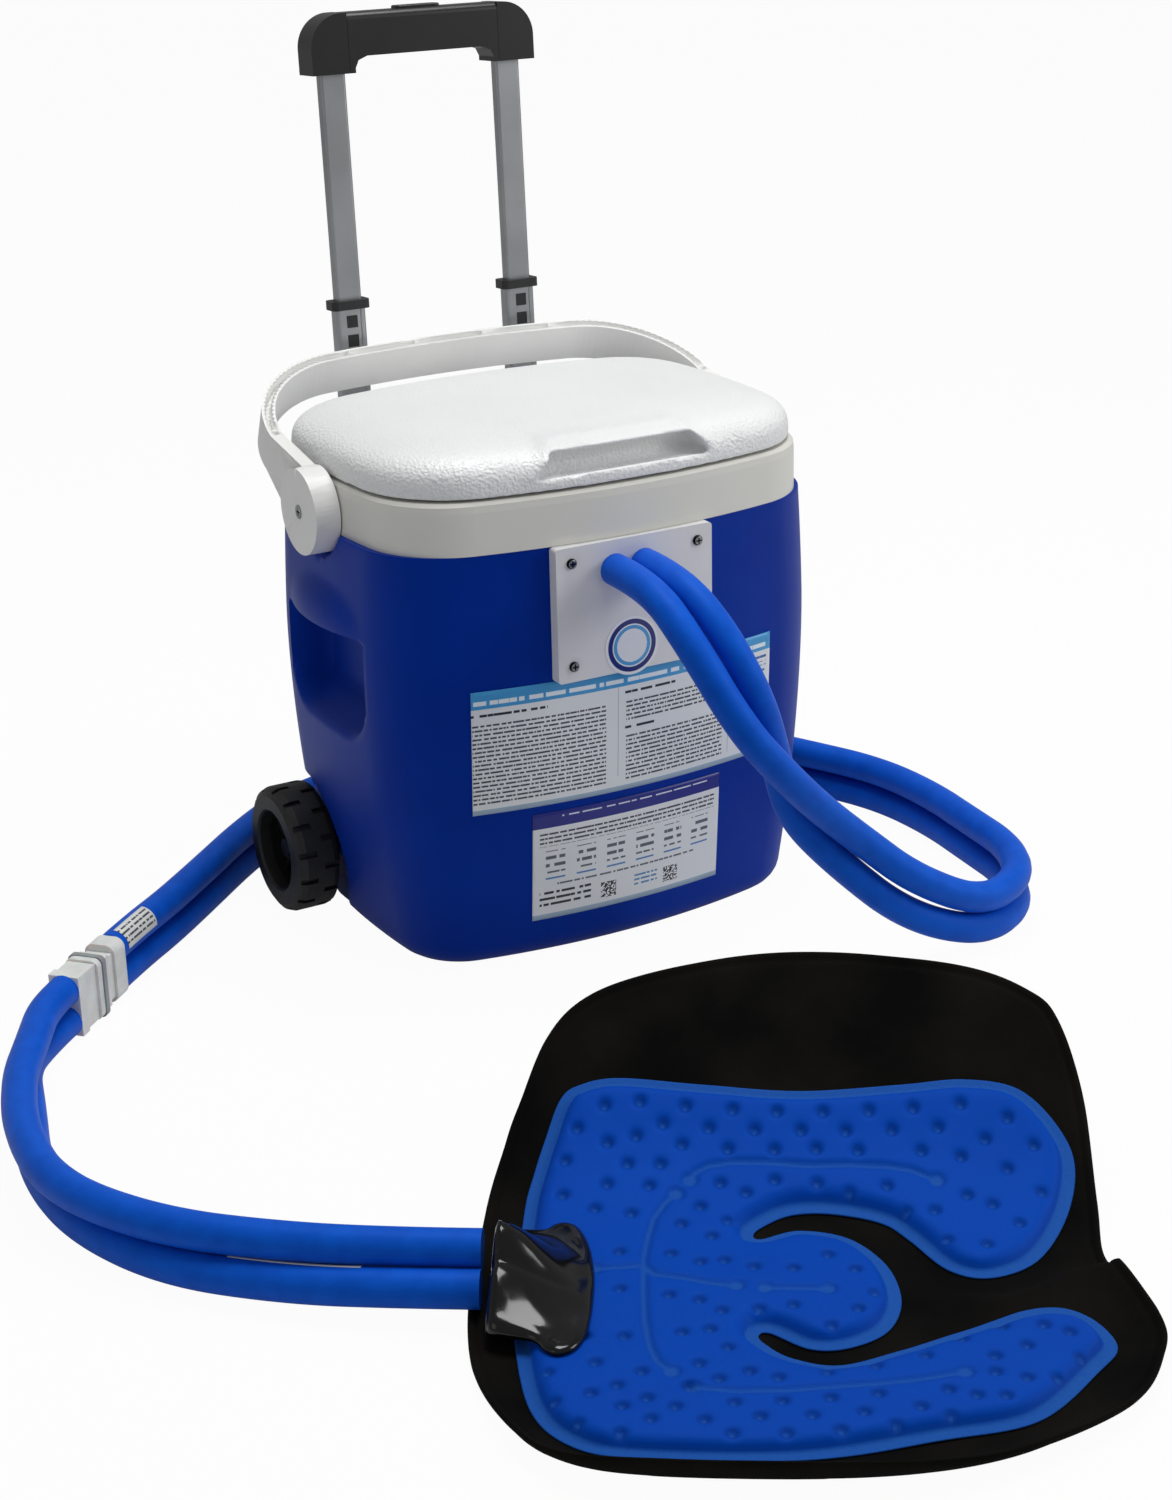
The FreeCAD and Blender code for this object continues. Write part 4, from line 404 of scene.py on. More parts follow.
low = LID_BASE + 0.0105
top = LID_BASE + 0.0352
edge = FRONT + 0.006
crest = FRONT + 0.018
brow = flared_block("brow", (
    (crest + 0.030, low), (edge, low), (edge, low + 0.0155), (crest - 0.0015, top - 0.0008),
    (crest, top), (crest + 0.030, top),
), (low, BROW_WIDTHS[0]), (top, BROW_WIDTHS[1]))
combine(brow, build_rings("outer_dome", dome_rings(BROW_PROUD)), "INTERSECT")
lid = build_rings("cooler_lid", dome_rings(0))
combine(lid, brow, "UNION")
back = FRONT + 0.028
high = low + 0.0175
pocket = flared_block("pocket", (
    (FRONT - 0.025, low), (FRONT + 0.002, low), (FRONT + 0.012, low - 0.0029),
    (back - 0.006, low - 0.0019), (back, low + 0.0026), (back, high - 0.006),
    (back - 0.004, high - 0.0025), (edge + 0.003, high - 0.0006), (edge, high), (FRONT - 0.025, high),
), (low, POCKET_WIDTHS[0]), (high, POCKET_WIDTHS[1]))
combine(lid, pocket, "DIFFERENCE")
apply(lid, "REMESH", mode="VOXEL", voxel_size=0.0019)
apply(lid, "SMOOTH", factor=0.5, iterations=7)
ends = lid.vertex_groups.new(name="brow_ends")
for vertex in lid.data.vertices:
    x, y, z = vertex.co
    half = (BROW_WIDTHS[0] - (BROW_WIDTHS[0] - BROW_WIDTHS[1]) * (z - low) / (top - low)) / 2
    gap = abs(x - PLATE_X) - half
    weight = step(gap, -0.0060, 0.0) * (1 - step(gap, 0.016, 0.030)) * step(-y, 0.070, 0.095)
    if weight > 0.01 and z > LID_BASE + 0.004:
        ends.add([vertex.index], float(weight), "REPLACE")
apply(lid, "SMOOTH", factor=0.5, iterations=60, vertex_group=ends.name)


def hinge_bar(name, radius, turns, corners, left, right):
    """A bar along X: turns in degrees round the hinge line, then the corners after them."""
    spots = [
        (HINGE_Y + radius * math.sin(turn), LID_BASE + radius * math.cos(turn))
        for turn in np.radians(turns)
    ]
    spots += corners
    return build_rings(name, [np.array([(x, y, z) for y, z in spots]) for x in (left, right)])


neck = [(NECK_Y, LID_BASE + 0.0002), (NECK_Y, LID_BASE + KNUCKLE_RADIUS)]
for middle in (-KNUCKLE_X, KNUCKLE_X):
    combine(lid, hinge_bar(
        "knuckle", KNUCKLE_RADIUS, np.linspace(0, 268, 19), neck, middle - KNUCKLE_HALF,
        middle + KNUCKLE_HALF,
    ), "UNION")
combine(lid, hinge_bar("pin_bore", BORE_RADIUS, np.arange(0, 360, 20), [], -0.06, 0.06), "DIFFERENCE")
lid.select_set(True)
bpy.ops.object.shade_smooth()
bpy.ops.object.select_all(action="DESELECT")
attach(lid, "lid")
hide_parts("lid_shell")
pebble = add(
    tree, "TexVoronoi", {"Vector": place, "Scale": 1 / 0.0023, "Randomness": 1.0}, feature="SMOOTH_F1",
)
fine = add(tree, "TexNoise", {"Vector": place, "Scale": 1 / 0.0011, "Detail": 2.0})
level = add(tree, "SeparateXYZ", {"Vector": place}).outputs["Z"]
band = add(
    tree, "MapRange", {"Value": level, "From Min": LID_CROWN, "From Max": LID_CROWN - 0.008},
    interpolation_type="SMOOTHSTEP",
)
relief = add(
    tree, "Mix", {0: band.outputs["Result"], 2: fine.outputs["Fac"], 3: pebble.outputs["Distance"]},
)
emboss(tree, shader, relief.outputs[0], 0.0011, 0.8)
dress(lid_hdpe, "cooler_lid")

# ------------------------------------------------------------------ carry handle
# The bail is injection-moulded white polypropylene, glossier than the lid, with an open
# channel and cross ribs along its upper side, and a stainless screw through each boss.


def copied(name, node):
    """A copy of a CAD node's mesh with its corners merged."""
    mesh = bpy.data.objects[node].data.copy()
    shape = bmesh.new()
    shape.from_mesh(mesh)
    bmesh.ops.remove_doubles(shape, verts=shape.verts, dist=0.00001)
    shape.to_mesh(mesh)
    shape.free()
    piece = new_piece(name, mesh, 32)
    apply(piece, "WEIGHTED_NORMAL", keep_sharp=True)
    return piece


DISC_OUTSIDE = 0.2074
DISC_EXTRA = 0.0064
SCREW_HEADS = 0.205
for name, node, body, start in (
    ("swing_handle", "bail_handle", "carry_handle", DISC_OUTSIDE),
    ("handle_screws", "pivot_screws", "cooler", SCREW_HEADS),
):
    piece = copied(name, node)
    for vertex in piece.data.vertices:
        if abs(vertex.co.x) > start:
            vertex.co.x += math.copysign(DISC_EXTRA, vertex.co.x)
    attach(piece, body)
    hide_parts(node)
plain_finish(
    "injection-moulded PP, white", ("#EAEAE8", "#EEEEEC", 9), (0.0009, 0.00003, 0.25), "swing_handle",
    Roughness=0.34, IOR=1.49,
)
plain_finish(
    "turned stainless steel", ("#A2A3A3", "#BDBEBE", 900), (0.0004, 0.00005, 0.4, 1), "hinge_pins",
    "impeller_shaft", "bracket_bolts", "release_yoke", Roughness=0.3, Metallic=1.0,
)


def calc(tree, operation, *values):
    """Result of a shader Math node."""
    return add(tree, "Math", dict(enumerate(values)), operation=operation).outputs[0]


def mix(tree, share, below, above):
    """Colour between two others."""
    return add(tree, "Mix", {0: share, 6: below, 7: above}, data_type="RGBA").outputs[2]


# Each pan head has a cross recess. Painted shade: all of the screw below the head's outer face, the recess
# too, is coloured dark.
for name, piece, along, level in (
    ("turned steel, plate screw", "plate_screws", (0, -1, 0), 0.15738),
    ("turned steel, handle screw", "handle_screws", (1, 0, 0), 0.21445),
):
    headed, tree, shader, place = blank(name, Roughness=0.32, Metallic=1.0)
    reach = add(tree, "VectorMath", {0: place, 1: along}, operation="DOT_PRODUCT").outputs["Value"]
    face = calc(tree, "GREATER_THAN", calc(tree, "ABSOLUTE", reach), level)
    # Painted shade below the head's face, pale steel on the face itself.
    tone = mix(tree, face, srgb("#17181A"), srgb("#8F9192"))
    tree.links.new(tone, shader.inputs["Base Color"])
    grain(tree, shader, place, 0.0005, 0.00005, 0.4)
    dress(headed, piece)

# ------------------------------------------------------------------ front plate
# The plate is machined from white PVC sheet with eased edges. Four pan-head screws hold it
# over the hose exits. A round vinyl disc with a plain two-blue ring sits below its middle.

plain_finish(
    "sheet PVC, white", ("#E0E0E1", "#E4E4E5", 14), (0.0014, 0.00003, 0.25), "front_plate",
    Roughness=0.33, IOR=1.53,
)

DISC_X, DISC_LEVEL = -0.008, 0.2617
DISC_RADIUS = 0.025
disc_vinyl, tree, shader, place = blank("printed vinyl, ring", Roughness=0.25, IOR=1.5)
axis = add(tree, "SeparateXYZ", {"Vector": place}).outputs
flat = add(tree, "CombineXYZ", {
    "X": calc(tree, "SUBTRACT", axis["X"], DISC_X), "Y": calc(tree, "SUBTRACT", axis["Z"], DISC_LEVEL),
}).outputs[0]
reach = add(tree, "VectorMath", {0: flat}, operation="LENGTH").outputs["Value"]
rings = add(tree, "ValToRGB", {"Fac": calc(tree, "DIVIDE", reach, DISC_RADIUS)})
rings.color_ramp.interpolation = "CONSTANT"
stops = ((0.0, "#E9ECF0"), (0.54, "#4C9FD8"), (0.66, "#E9ECF0"), (0.70, "#1C2A78"), (0.86, "#EDEFF1"))
rings.color_ramp.elements[0].color = srgb(stops[0][1])
rings.color_ramp.elements[1].position = stops[1][0]
rings.color_ramp.elements[1].color = srgb(stops[1][1])
for spot, code in stops[2:]:
    rings.color_ramp.elements.new(spot).color = srgb(code)
tree.links.new(rings.outputs["Color"], shader.inputs["Base Color"])
dress(disc_vinyl, "plate_disc")

# ------------------------------------------------------------------ stickers
# Two sheets of printed white vinyl follow the bowed front of the tub. Their print is set as
# plain rules: coloured head and foot bands, columns, and rows of broken grey dashes.

ROW_FILL = 0.42
WORD_CUT = 0.44
CELL_CUT = 0.45


def rows(tree, x, z, pitch, word, seed):
    """Mask of printed rows: row pitch and word length in metres."""
    line = calc(tree, "DIVIDE", z, pitch)
    inked = calc(tree, "LESS_THAN", calc(tree, "FRACT", line), ROW_FILL)
    spot = add(tree, "CombineXYZ", {
        "X": calc(tree, "DIVIDE", x, word), "Y": calc(tree, "FLOOR", line), "Z": seed,
    }).outputs[0]
    words = add(tree, "TexNoise", {"Vector": spot, "Scale": 1.0, "Detail": 1.0}).outputs["Fac"]
    return calc(tree, "MULTIPLY", inked, calc(tree, "GREATER_THAN", words, WORD_CUT))


def cells(tree, x, z, size):
    """Mask of random square cells."""
    spot = add(tree, "CombineXYZ", {
        "X": calc(tree, "FLOOR", calc(tree, "DIVIDE", x, size)),
        "Y": calc(tree, "FLOOR", calc(tree, "DIVIDE", z, size)),
    }).outputs[0]
    chance = add(tree, "TexWhiteNoise", {"Vector": spot}).outputs["Value"]
    return calc(tree, "GREATER_THAN", chance, CELL_CUT)


def window(tree, x, z, left, right, low, high):
    """Mask of a rectangle on the sheet."""
    across, upward = (
        calc(tree, "MULTIPLY", calc(tree, "GREATER_THAN", spot, start), calc(tree, "LESS_THAN", spot, end))
        for spot, start, end in ((x, left, right), (z, low, high))
    )
    return calc(tree, "MULTIPLY", across, upward)


def print_sheet(tree, x, z, ground, blocks):
    """Colour of a printed sheet, block over block. A block is its left, right, foot and head, its
    ink, and then the pitch, word length and seed of its rows, or its cell size, or nothing."""
    colour = srgb(ground)
    for left, right, low, high, ink, *pattern in blocks:
        mask = window(tree, x, z, left, right, low, high)
        if pattern:
            motif = cells if len(pattern) == 1 else rows
            mask = calc(tree, "MULTIPLY", mask, motif(tree, x, z, *pattern))
        colour = mix(tree, mask, colour, srgb(ink))
    return colour


SHEET_LEFT = -0.1395
SHEET_THICK = 0.00035
SHEET_PROUD = 0.0005


def tub_front(x, level):
    """Depth of the tub's front skin at a place across it."""
    _, bend, front = bowed_arcs(*tub_sizes(level))
    spot, radius, turn, _ = front
    if abs(x) > radius * math.cos(turn):
        spot, radius = bend[:2]
    return -spot[1] - math.sqrt(radius ** 2 - (abs(x) - spot[0]) ** 2)


def front_sheet(name, node):
    """A thin sheet on the tub's front, as wide and tall as its CAD node."""
    (left, _, low), (right, _, high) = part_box(node)
    left = max(left, SHEET_LEFT)
    across = np.linspace(left, right, 96)
    upward = np.linspace(low, high, 30)
    spots = [(x, tub_front(x, z) - SHEET_PROUD, z) for z in upward for x in across]
    faces = []
    for row in range(len(upward) - 1):
        for i in range(len(across) - 1):
            first = row * len(across) + i
            faces.append((first, first + 1, first + 1 + len(across), first + len(across)))
    mesh = bpy.data.meshes.new(name)
    mesh.from_pydata(spots, [], faces)
    sheet = new_piece(name, mesh)
    apply(sheet, "SOLIDIFY", thickness=SHEET_THICK, offset=-1)
    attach(sheet, "cooler")
    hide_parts(node)


front_sheet("instruction_sheet", "label_instructions")
front_sheet("accessory_sheet", "label_catalogue")

INSTRUCTION_PRINT = (
    (-0.2, 0.2, 0.2265, 0.25, "#3C9BD6"),
    (-0.139, 0.130, 0.2295, 0.2350, "#E8F2F8", 0.0085, 0.0065, 3.0),
    (-0.140, -0.078, 0.2180, 0.2225, "#1D2430", 0.0050, 0.0060, 2.0),
    (-0.139, -0.028, 0.146, 0.2150, "#3E444D", 0.00365, 0.0024, 7.0),
    (-0.011, 0.036, 0.2180, 0.2225, "#1D2430", 0.0050, 0.0060, 4.0),
    (-0.010, 0.084, 0.196, 0.2150, "#3E444D", 0.00365, 0.0024, 11.0),
    (-0.011, 0.016, 0.1885, 0.1930, "#1D2430", 0.0050, 0.0060, 6.0),
    (-0.010, 0.084, 0.146, 0.1860, "#3E444D", 0.00365, 0.0024, 13.0),
    (0.096, 0.131, 0.2165, 0.2225, "#2B5FA8", 0.0050, 0.0060, 8.0),
    (0.096, 0.131, 0.178, 0.2140, "#4D86B8", 0.0052, 0.0030, 17.0),
    (0.098, 0.112, 0.160, 0.174, "#20252D", 0.0011),
    (-0.0175, -0.0168, 0.150, 0.2265, "#B9C0C6"),
    (0.0900, 0.0907, 0.146, 0.2265, "#B9C0C6"),
    (-0.2, 0.2, 0.13, 0.1412, "#9FB6CB"),
)
ACCESSORY_PRINT = [
    (-0.1, 0.1, 0.1165, 0.14, "#1B2384"),
    (-0.066, 0.070, 0.1205, 0.1260, "#DDE2F2", 0.0104, 0.0065, 5.0),
    (-0.085, 0.078, 0.1000, 0.1135, "#3E444D", 0.0038, 0.0024, 9.0),
    (-0.070, 0.060, 0.0630, 0.0680, "#5E646C", 0.0038, 0.0032, 31.0),
    (-0.031, -0.017, 0.0435, 0.0575, "#20252D", 0.0011),
    (0.028, 0.042, 0.0435, 0.0575, "#20252D", 0.0011),
    (-0.085, -0.040, 0.044, 0.0600, "#1D2430", 0.0052, 0.0050, 37.0),
    (0.000, 0.022, 0.046, 0.0600, "#4D86B8", 0.0040, 0.0035, 41.0),
    (-0.1, 0.1, 0.03, 0.0395, "#9FB6CB"),
]
for number in range(6):
    left = -0.080 + 0.027 * number
    ACCESSORY_PRINT += [
        (left, left + 0.017, 0.076, 0.096, "#55606C", 0.0068, 0.006, 21.0 + number),
        (left, left + 0.017, 0.0705, 0.0720, "#3F7DBE"),
    ]
for piece, ground, blocks in (
    ("instruction_sheet", "#E6EAED", INSTRUCTION_PRINT),
    ("accessory_sheet", "#E6E9EC", ACCESSORY_PRINT),
):
    title = "printed vinyl, " + piece.replace("_", " ")
    vinyl, tree, shader, place = blank(title, Roughness=0.34, IOR=1.5)
    axis = add(tree, "SeparateXYZ", {"Vector": place}).outputs
    tree.links.new(print_sheet(tree, axis["X"], axis["Z"], ground, blocks), shader.inputs["Base Color"])
    dress(vinyl, piece)

# ------------------------------------------------------------------ trolley handle
# Two pairs of extruded aluminium tubes, satin anodised, slide in one another. The grip is
# moulded in three pieces of glass-filled nylon with a push button in its top.

anodised, tree, shader, place = blank("extruded aluminium, satin anodised", Roughness=0.36, Metallic=1.0)
mottle(tree, shader, place, "#9FA1A4", "#A9ABAE", 18)
drawn = add(tree, "Mapping", {"Vector": place, "Scale": (1800.0, 1800.0, 14.0)})
lines = add(tree, "TexNoise", {"Vector": drawn.outputs[0], "Scale": 1.0, "Detail": 3.0})
emboss(tree, shader, lines.outputs["Fac"], 0.00005, 0.5)
dress(anodised, "outer_tube_left", "outer_tube_right", "inner_tube_left", "inner_tube_right")

plain_finish(
    "moulded nylon, satin black", ("#0C0C0E", "#121214", 25), (0.0006, 0.00006, 0.35), "grip_center",
    "grip_end_left", "grip_end_right", Roughness=0.34, IOR=1.53,
)
plain_finish(
    "moulded nylon, gloss black", ("#0A0A0C", "#0F0F11", 25), (0.0010, 0.00003, 0.3), "release_button",
    Roughness=0.24, IOR=1.53,
)

# ------------------------------------------------------------------ wheels
# Each wheel is a blow-moulded black tyre with square lugs round a moulded hub. The plastic
# is matt, greyed by dust on the lugs.

plain_finish(
    "blow-moulded polyethylene, matt black", ("#0D0D0E", "#1A1A1B", 60), (0.0009, 0.00025, 0.6),
    "tyre_left", "tyre_right", Roughness=0.58, IOR=1.51,
)
plain_finish(
    "moulded polypropylene, black", ("#08080A", "#101012", 40), (0.0008, 0.0001, 0.5), "hub_left",
    "hub_right", "axle_cap_left", "axle_cap_right", Roughness=0.5, IOR=1.49,
)

# ------------------------------------------------------------------ hoses
# Each hose is a water tube in a 25.4 mm sleeve of closed-cell nitrile foam, royal blue and
# matt. They run side by side, stacked one on the other where they lie on the floor.

HOSE_ACROSS = 0.0254
UPPER_LEVEL = 0.039
LOWER_LEVEL = 0.0129
FLOOR_RUN = (
    (0.229, -0.303), (0.287, -0.28), (0.319, -0.226), (0.326, -0.163), (0.334, -0.095),
    (0.329, -0.022), (0.3, 0.045), (0.267, 0.115), (0.215, 0.175), (0.14, 0.215), (0.06, 0.232),
    (-0.02, 0.234), (-0.095, 0.228), (-0.165, 0.203), (-0.224, 0.157), (-0.281, 0.103),
    (-0.333, 0.055), (-0.3726, 0.02312), (-0.402, -0.004),
)
NEAR_SUPPLY = (
    (-0.022, -0.155, 0.326), (-0.022, -0.21, 0.326), (-0.018, -0.259, 0.294), (0.006, -0.291, 0.232),
    (0.04, -0.296, 0.19), (0.078, -0.291, 0.151), (0.122, -0.289, 0.112), (0.163, -0.3, 0.075),
    *((*spot, UPPER_LEVEL) for spot in FLOOR_RUN),
)
NEAR_RETURN = (
    (0.0042, -0.155, 0.326), (0.0042, -0.21, 0.326), (0.012, -0.259, 0.295), (0.03, -0.281, 0.243),
    (0.053, -0.267, 0.188), (0.067, -0.266, 0.14), (0.102, -0.278, 0.097), (0.159, -0.295, 0.042),
    *((*spot, LOWER_LEVEL) for spot in FLOOR_RUN),
)
FAR_SUPPLY = (
    (-0.457125, -0.05485, 0.039), (-0.480645, -0.076546, 0.039), (-0.503, -0.12, 0.039),
    (-0.533, -0.176, 0.039), (-0.555, -0.252, 0.039), (-0.558, -0.333, 0.039), (-0.516, -0.414, 0.039),
    (-0.452, -0.475, 0.039), (-0.39059, -0.51994, 0.039), (-0.35201, -0.54499, 0.039),
)
FAR_RETURN = (
    (-0.457125, -0.05485, 0.0129), (-0.480645, -0.076546, 0.0129), (-0.511, -0.111, 0.0129),
    (-0.527, -0.174, 0.0129), (-0.549, -0.252, 0.0129), (-0.55, -0.335, 0.0129),
    (-0.5195, -0.418, 0.0135), (-0.4605, -0.486, 0.0172), (-0.4015, -0.5342, 0.0209),
    (-0.36175, -0.56, 0.0209),
)
hose_foam = plain_finish(
    "closed-cell nitrile foam, blue", ("#0A51C2", "#0C58CC", 70), (0.0008, 0.00012, 0.5),
    Roughness=0.52, IOR=1.42, Specular_Tint=BLUE_SHEEN,
)


def lay_hose(name, route, node):
    """One foam-covered hose along its route."""
    curve = bpy.data.curves.new(name, "CURVE")
    curve.dimensions = "3D"
    spline = curve.splines.new("NURBS")
    spline.points.add(len(route) - 1)
    for point, spot in zip(spline.points, route):
        point.co = (*spot, 1)
    spline.order_u = 3
    spline.use_endpoint_u = True
    spline.resolution_u = 16
    curve.bevel_depth = HOSE_ACROSS / 2
    curve.bevel_resolution = 8
    curve.use_fill_caps = True
    hose = bpy.data.objects.new(name, curve)
    bpy.context.scene.collection.objects.link(hose)
    curve.materials.append(hose_foam)
    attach(hose, "cooler")
    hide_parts(node)
    return hose


near_supply = lay_hose("hose_supply_tank_to_coupling", NEAR_SUPPLY, "supply_hose_near")
near_return = lay_hose("hose_return_tank_to_coupling", NEAR_RETURN, "return_hose_near")
far_supply = lay_hose("hose_supply_coupling_to_pad", FAR_SUPPLY, "supply_hose_far")
far_return = lay_hose("hose_return_coupling_to_pad", FAR_RETURN, "return_hose_far")

# ------------------------------------------------------------------ hose strips
# A printed white vinyl strip is wrapped part way round a hose at two places. Its print is
# set as broken dashes, with no words.

STRIP_THICK = 0.0002
STRIP_PROUD = 0.00025


def centre_line(hose):
    """Points of a hose's middle, read from its own spline."""
    bare = hose.data.copy()
    bare.bevel_depth = 0
    bare.use_fill_caps = False
    holder = bpy.data.objects.new("bare_line", bare)
    mesh = bpy.data.meshes.new_from_object(holder)
    spots = [vertex.co.copy() for vertex in mesh.vertices]
    bpy.data.meshes.remove(mesh)
    bpy.data.objects.remove(holder)
    bpy.data.curves.remove(bare)
    return spots


def wrap_strip(name, hose, start, length, turn, width):
    """A strip bent round a hose: start and length along it, turn and width round it in degrees."""
    columns, lines = 24, 13
    spots = centre_line(hose)
    run = [0.0]
    for before, after in zip(spots, spots[1:]):
        run.append(run[-1] + (after - before).length)
    shape = bmesh.new()
    grid = []
    for i in range(columns + 1):
        want = start + length * i / columns
        k = max(j for j in range(len(run) - 1) if run[j] <= want)
        share = (want - run[k]) / (run[k + 1] - run[k])
        middle = spots[k].lerp(spots[k + 1], share)
        way = (spots[k + 1] - spots[k]).normalized()
        side = way.cross(Vector((0, 0, 1))).normalized()
        top = side.cross(way)
        line = []
        for j in range(lines + 1):
            angle = math.radians(turn + width * (j / lines - 0.5))
            out = side * math.sin(angle) + top * math.cos(angle)
            line.append(shape.verts.new(middle + out * (HOSE_ACROSS / 2 + STRIP_PROUD)))
        grid.append(line)
    for first, second in zip(grid, grid[1:]):
        for j in range(lines):
            shape.faces.new((first[j], second[j], second[j + 1], first[j + 1]))
    bmesh.ops.recalc_face_normals(shape, faces=shape.faces)
    mesh = bpy.data.meshes.new(name)
    layer = shape.loops.layers.uv.new("print")
    for i, line in enumerate(grid):
        for j, vertex in enumerate(line):
            for loop in vertex.link_loops:
                loop[layer].uv = (length * i / columns, j / lines)
    shape.to_mesh(mesh)
    shape.free()
    strip = new_piece(name, mesh)
    apply(strip, "SOLIDIFY", thickness=STRIP_THICK, offset=1)
    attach(strip, "cooler")
    return strip


strip_vinyl, tree, shader, place = blank("printed vinyl, hose strip", Roughness=0.3, IOR=1.5)
uv = add(tree, "UVMap", uv_map="print").outputs["UV"]
axis = add(tree, "SeparateXYZ", {"Vector": uv}).outputs
words = ((0.002, 0.083, 0.10, 0.92, "#4A4D50", 0.19, 0.0030, 3.0),)
tree.links.new(print_sheet(tree, axis["X"], axis["Y"], "#E2E4E0", words), shader.inputs["Base Color"])
pad_strip = wrap_strip("strip_near_pad", far_return, 0.44, 0.090, -60, 105)
tank_strip = wrap_strip("strip_near_coupling", near_supply, 1.688, 0.047, -48, 96)
dress(strip_vinyl, "strip_near_pad", "strip_near_coupling")

# ------------------------------------------------------------------ coupling
# The quick coupling has two halves of natural acetal, milky and slightly see-through, and a
# grey latch plate that springs across the joint.

plain_finish(
    "moulded acetal, natural", ("#D8DAD8", "#E6E7E4", 60), (0.0015, 0.00008, 0.3),
    "coupling_cooler_half", "coupling_pad_half", Roughness=0.32, IOR=1.48, Subsurface_Weight=0.25,
    Subsurface_Scale=0.004,
)
plain_finish(
    "moulded acetal, latch grey", ("#8C9093", "#999D9F", 80), (0.0010, 0.00006, 0.3),
    "coupling_latch", Roughness=0.4, IOR=1.48,
)

# ------------------------------------------------------------------ wrap
# The wrap is a 6 mm neoprene shell, thermoformed so that its back rises and its front edge
# turns up, with a soft loop face and an edge that is pressed thin all round.

PAD_ORIGIN = Vector((-0.200, -0.600, 0))
PAD_TURN = math.radians(-33)
BACK_BEND = 0.250
FRONT_BEND = 0.080
FLAT_RUN = 0.190
RISE = math.radians(30)
WRAP_THICK = 0.006
WRAP_EDGE = 0.003
WRAP_UNEVEN = 0.0005
PRESSED_LINE = 0.0062
PRESSED_WIDTH = 0.0013
RIM_WIDTH = 0.024
RIM_LOW, RIM_FRONT, RIM_CORNER = 0.0025, 0.0085, 0.0060
FOLD_RISE = 0.012
FOLD_WIDTHS = (0.009, 0.030)
WRAP_OUTLINE = (
    (-165, 51), (-156, 108), (-148, 136), (-133, 179), (-110, 207), (-68, 226), (3, 241),
    (71, 244), (159, 235), (206, 217), (225, 195), (237, 140), (238, 66), (236, 18), (243, -12),
    (260, -55), (258, -95), (229, -151), (148, -206), (56, -232), (-50, -232), (-110, -205),
    (-150, -141), (-166, -58),
)
ON_EDGE = 1e-5
WRAP_FOLD = ((105, -41), (140, -41), (170, -44), (190, -34), (213, -18), (231, -14), (250, -10))


def smooth_loop(points, spacing):
    """Even points, in metres, along a smooth closed curve through points in millimetres."""
    knots = np.array(points, float) / 1000
    count = len(knots)
    dense = []
    for i in range(count):
        a, b, c, d = (knots[(i + k) % count] for k in (-1, 0, 1, 2))
        for t in np.linspace(0, 1, 24, endpoint=False):
            dense.append(
                0.5 * ((2 * b) + (c - a) * t + (2 * a - 5 * b + 4 * c - d) * t * t
                       + (3 * b - a - 3 * c + d) * t ** 3)
            )
    dense = np.array(dense)
    closed = np.vstack((dense, dense[:1]))
    reach = np.concatenate(([0], np.cumsum(np.linalg.norm(np.diff(closed, axis=0), axis=1))))
    want = np.linspace(0, reach[-1], int(reach[-1] / spacing), endpoint=False)
    return np.column_stack([np.interp(want, reach, closed[:, k]) for k in (0, 1)])


def away(spots, path, closed=True):
    """Distance of each spot to a path of points."""
    ends = np.roll(path, -1, axis=0) if closed else path[1:]
    starts = path if closed else path[:-1]
    best = np.full(len(spots), 9.0)
    for start, end in zip(starts, ends):
        along = end - start
        share = np.clip(((spots - start) @ along) / (along @ along), 0, 1)
        best = np.minimum(best, np.hypot(*(spots - start - share[:, None] * along).T))
    return best


def inside(spots, path):
    """True for each spot within a closed path."""
    hits = np.zeros(len(spots), bool)
    for (ax, ay), (bx, by) in zip(path, np.roll(path, -1, axis=0)):
        if ay == by:
            continue
        cross = (ay > spots[:, 1]) != (by > spots[:, 1])
        hits ^= cross & (spots[:, 0] < (bx - ax) * (spots[:, 1] - ay) / (by - ay) + ax)
    return hits


def cut_piece(points, spacing, pitch, rings):
    """Flat triangles inside a smooth outline, with rings of spots along it: spots, triangles, each
    spot's distance to the outline, and which of them lie on it."""
    outline = smooth_loop(points, spacing)
    low, high = outline.min(0), outline.max(0)
    grid = []
    for i, y in enumerate(np.arange(low[1], high[1], pitch * 0.866)):
        across = np.arange(low[0] + (i % 2) * pitch / 2, high[0], pitch)
        grid.append(np.column_stack((across, np.full(len(across), y))))
    grid = np.vstack(grid)
    grid = grid[inside(grid, outline)]
    grid = grid[away(grid, outline) > rings[-1] + pitch * 0.6]
    ahead, behind = np.roll(outline, -1, axis=0), np.roll(outline, 1, axis=0)
    way = ahead - behind
    inward = np.column_stack((-way[:, 1], way[:, 0])) / np.hypot(*way.T)[:, None]
    if not inside(outline[:1] + inward[:1] * 0.001, outline)[0]:
        inward = -inward
    bands = []
    for depth in rings:
        band = outline + inward * depth
        bands.append(band[(away(band, outline) > depth * 0.97) & inside(band, outline)])
    spots = np.vstack((outline, *bands, grid))
    result = delaunay_2d_cdt(
        [Vector(spot) for spot in spots], [], [list(range(len(outline)))], 1, 1e-6,
    )
    flat = np.array([tuple(vertex) for vertex in result[0]])
    depth = away(flat, outline)
    return flat, result[2], depth, depth < ON_EDGE


def bell(gap, rise, width):
    """A rise that fades over a width as the gap grows."""
    return rise * np.exp(-(gap / width) ** 2)


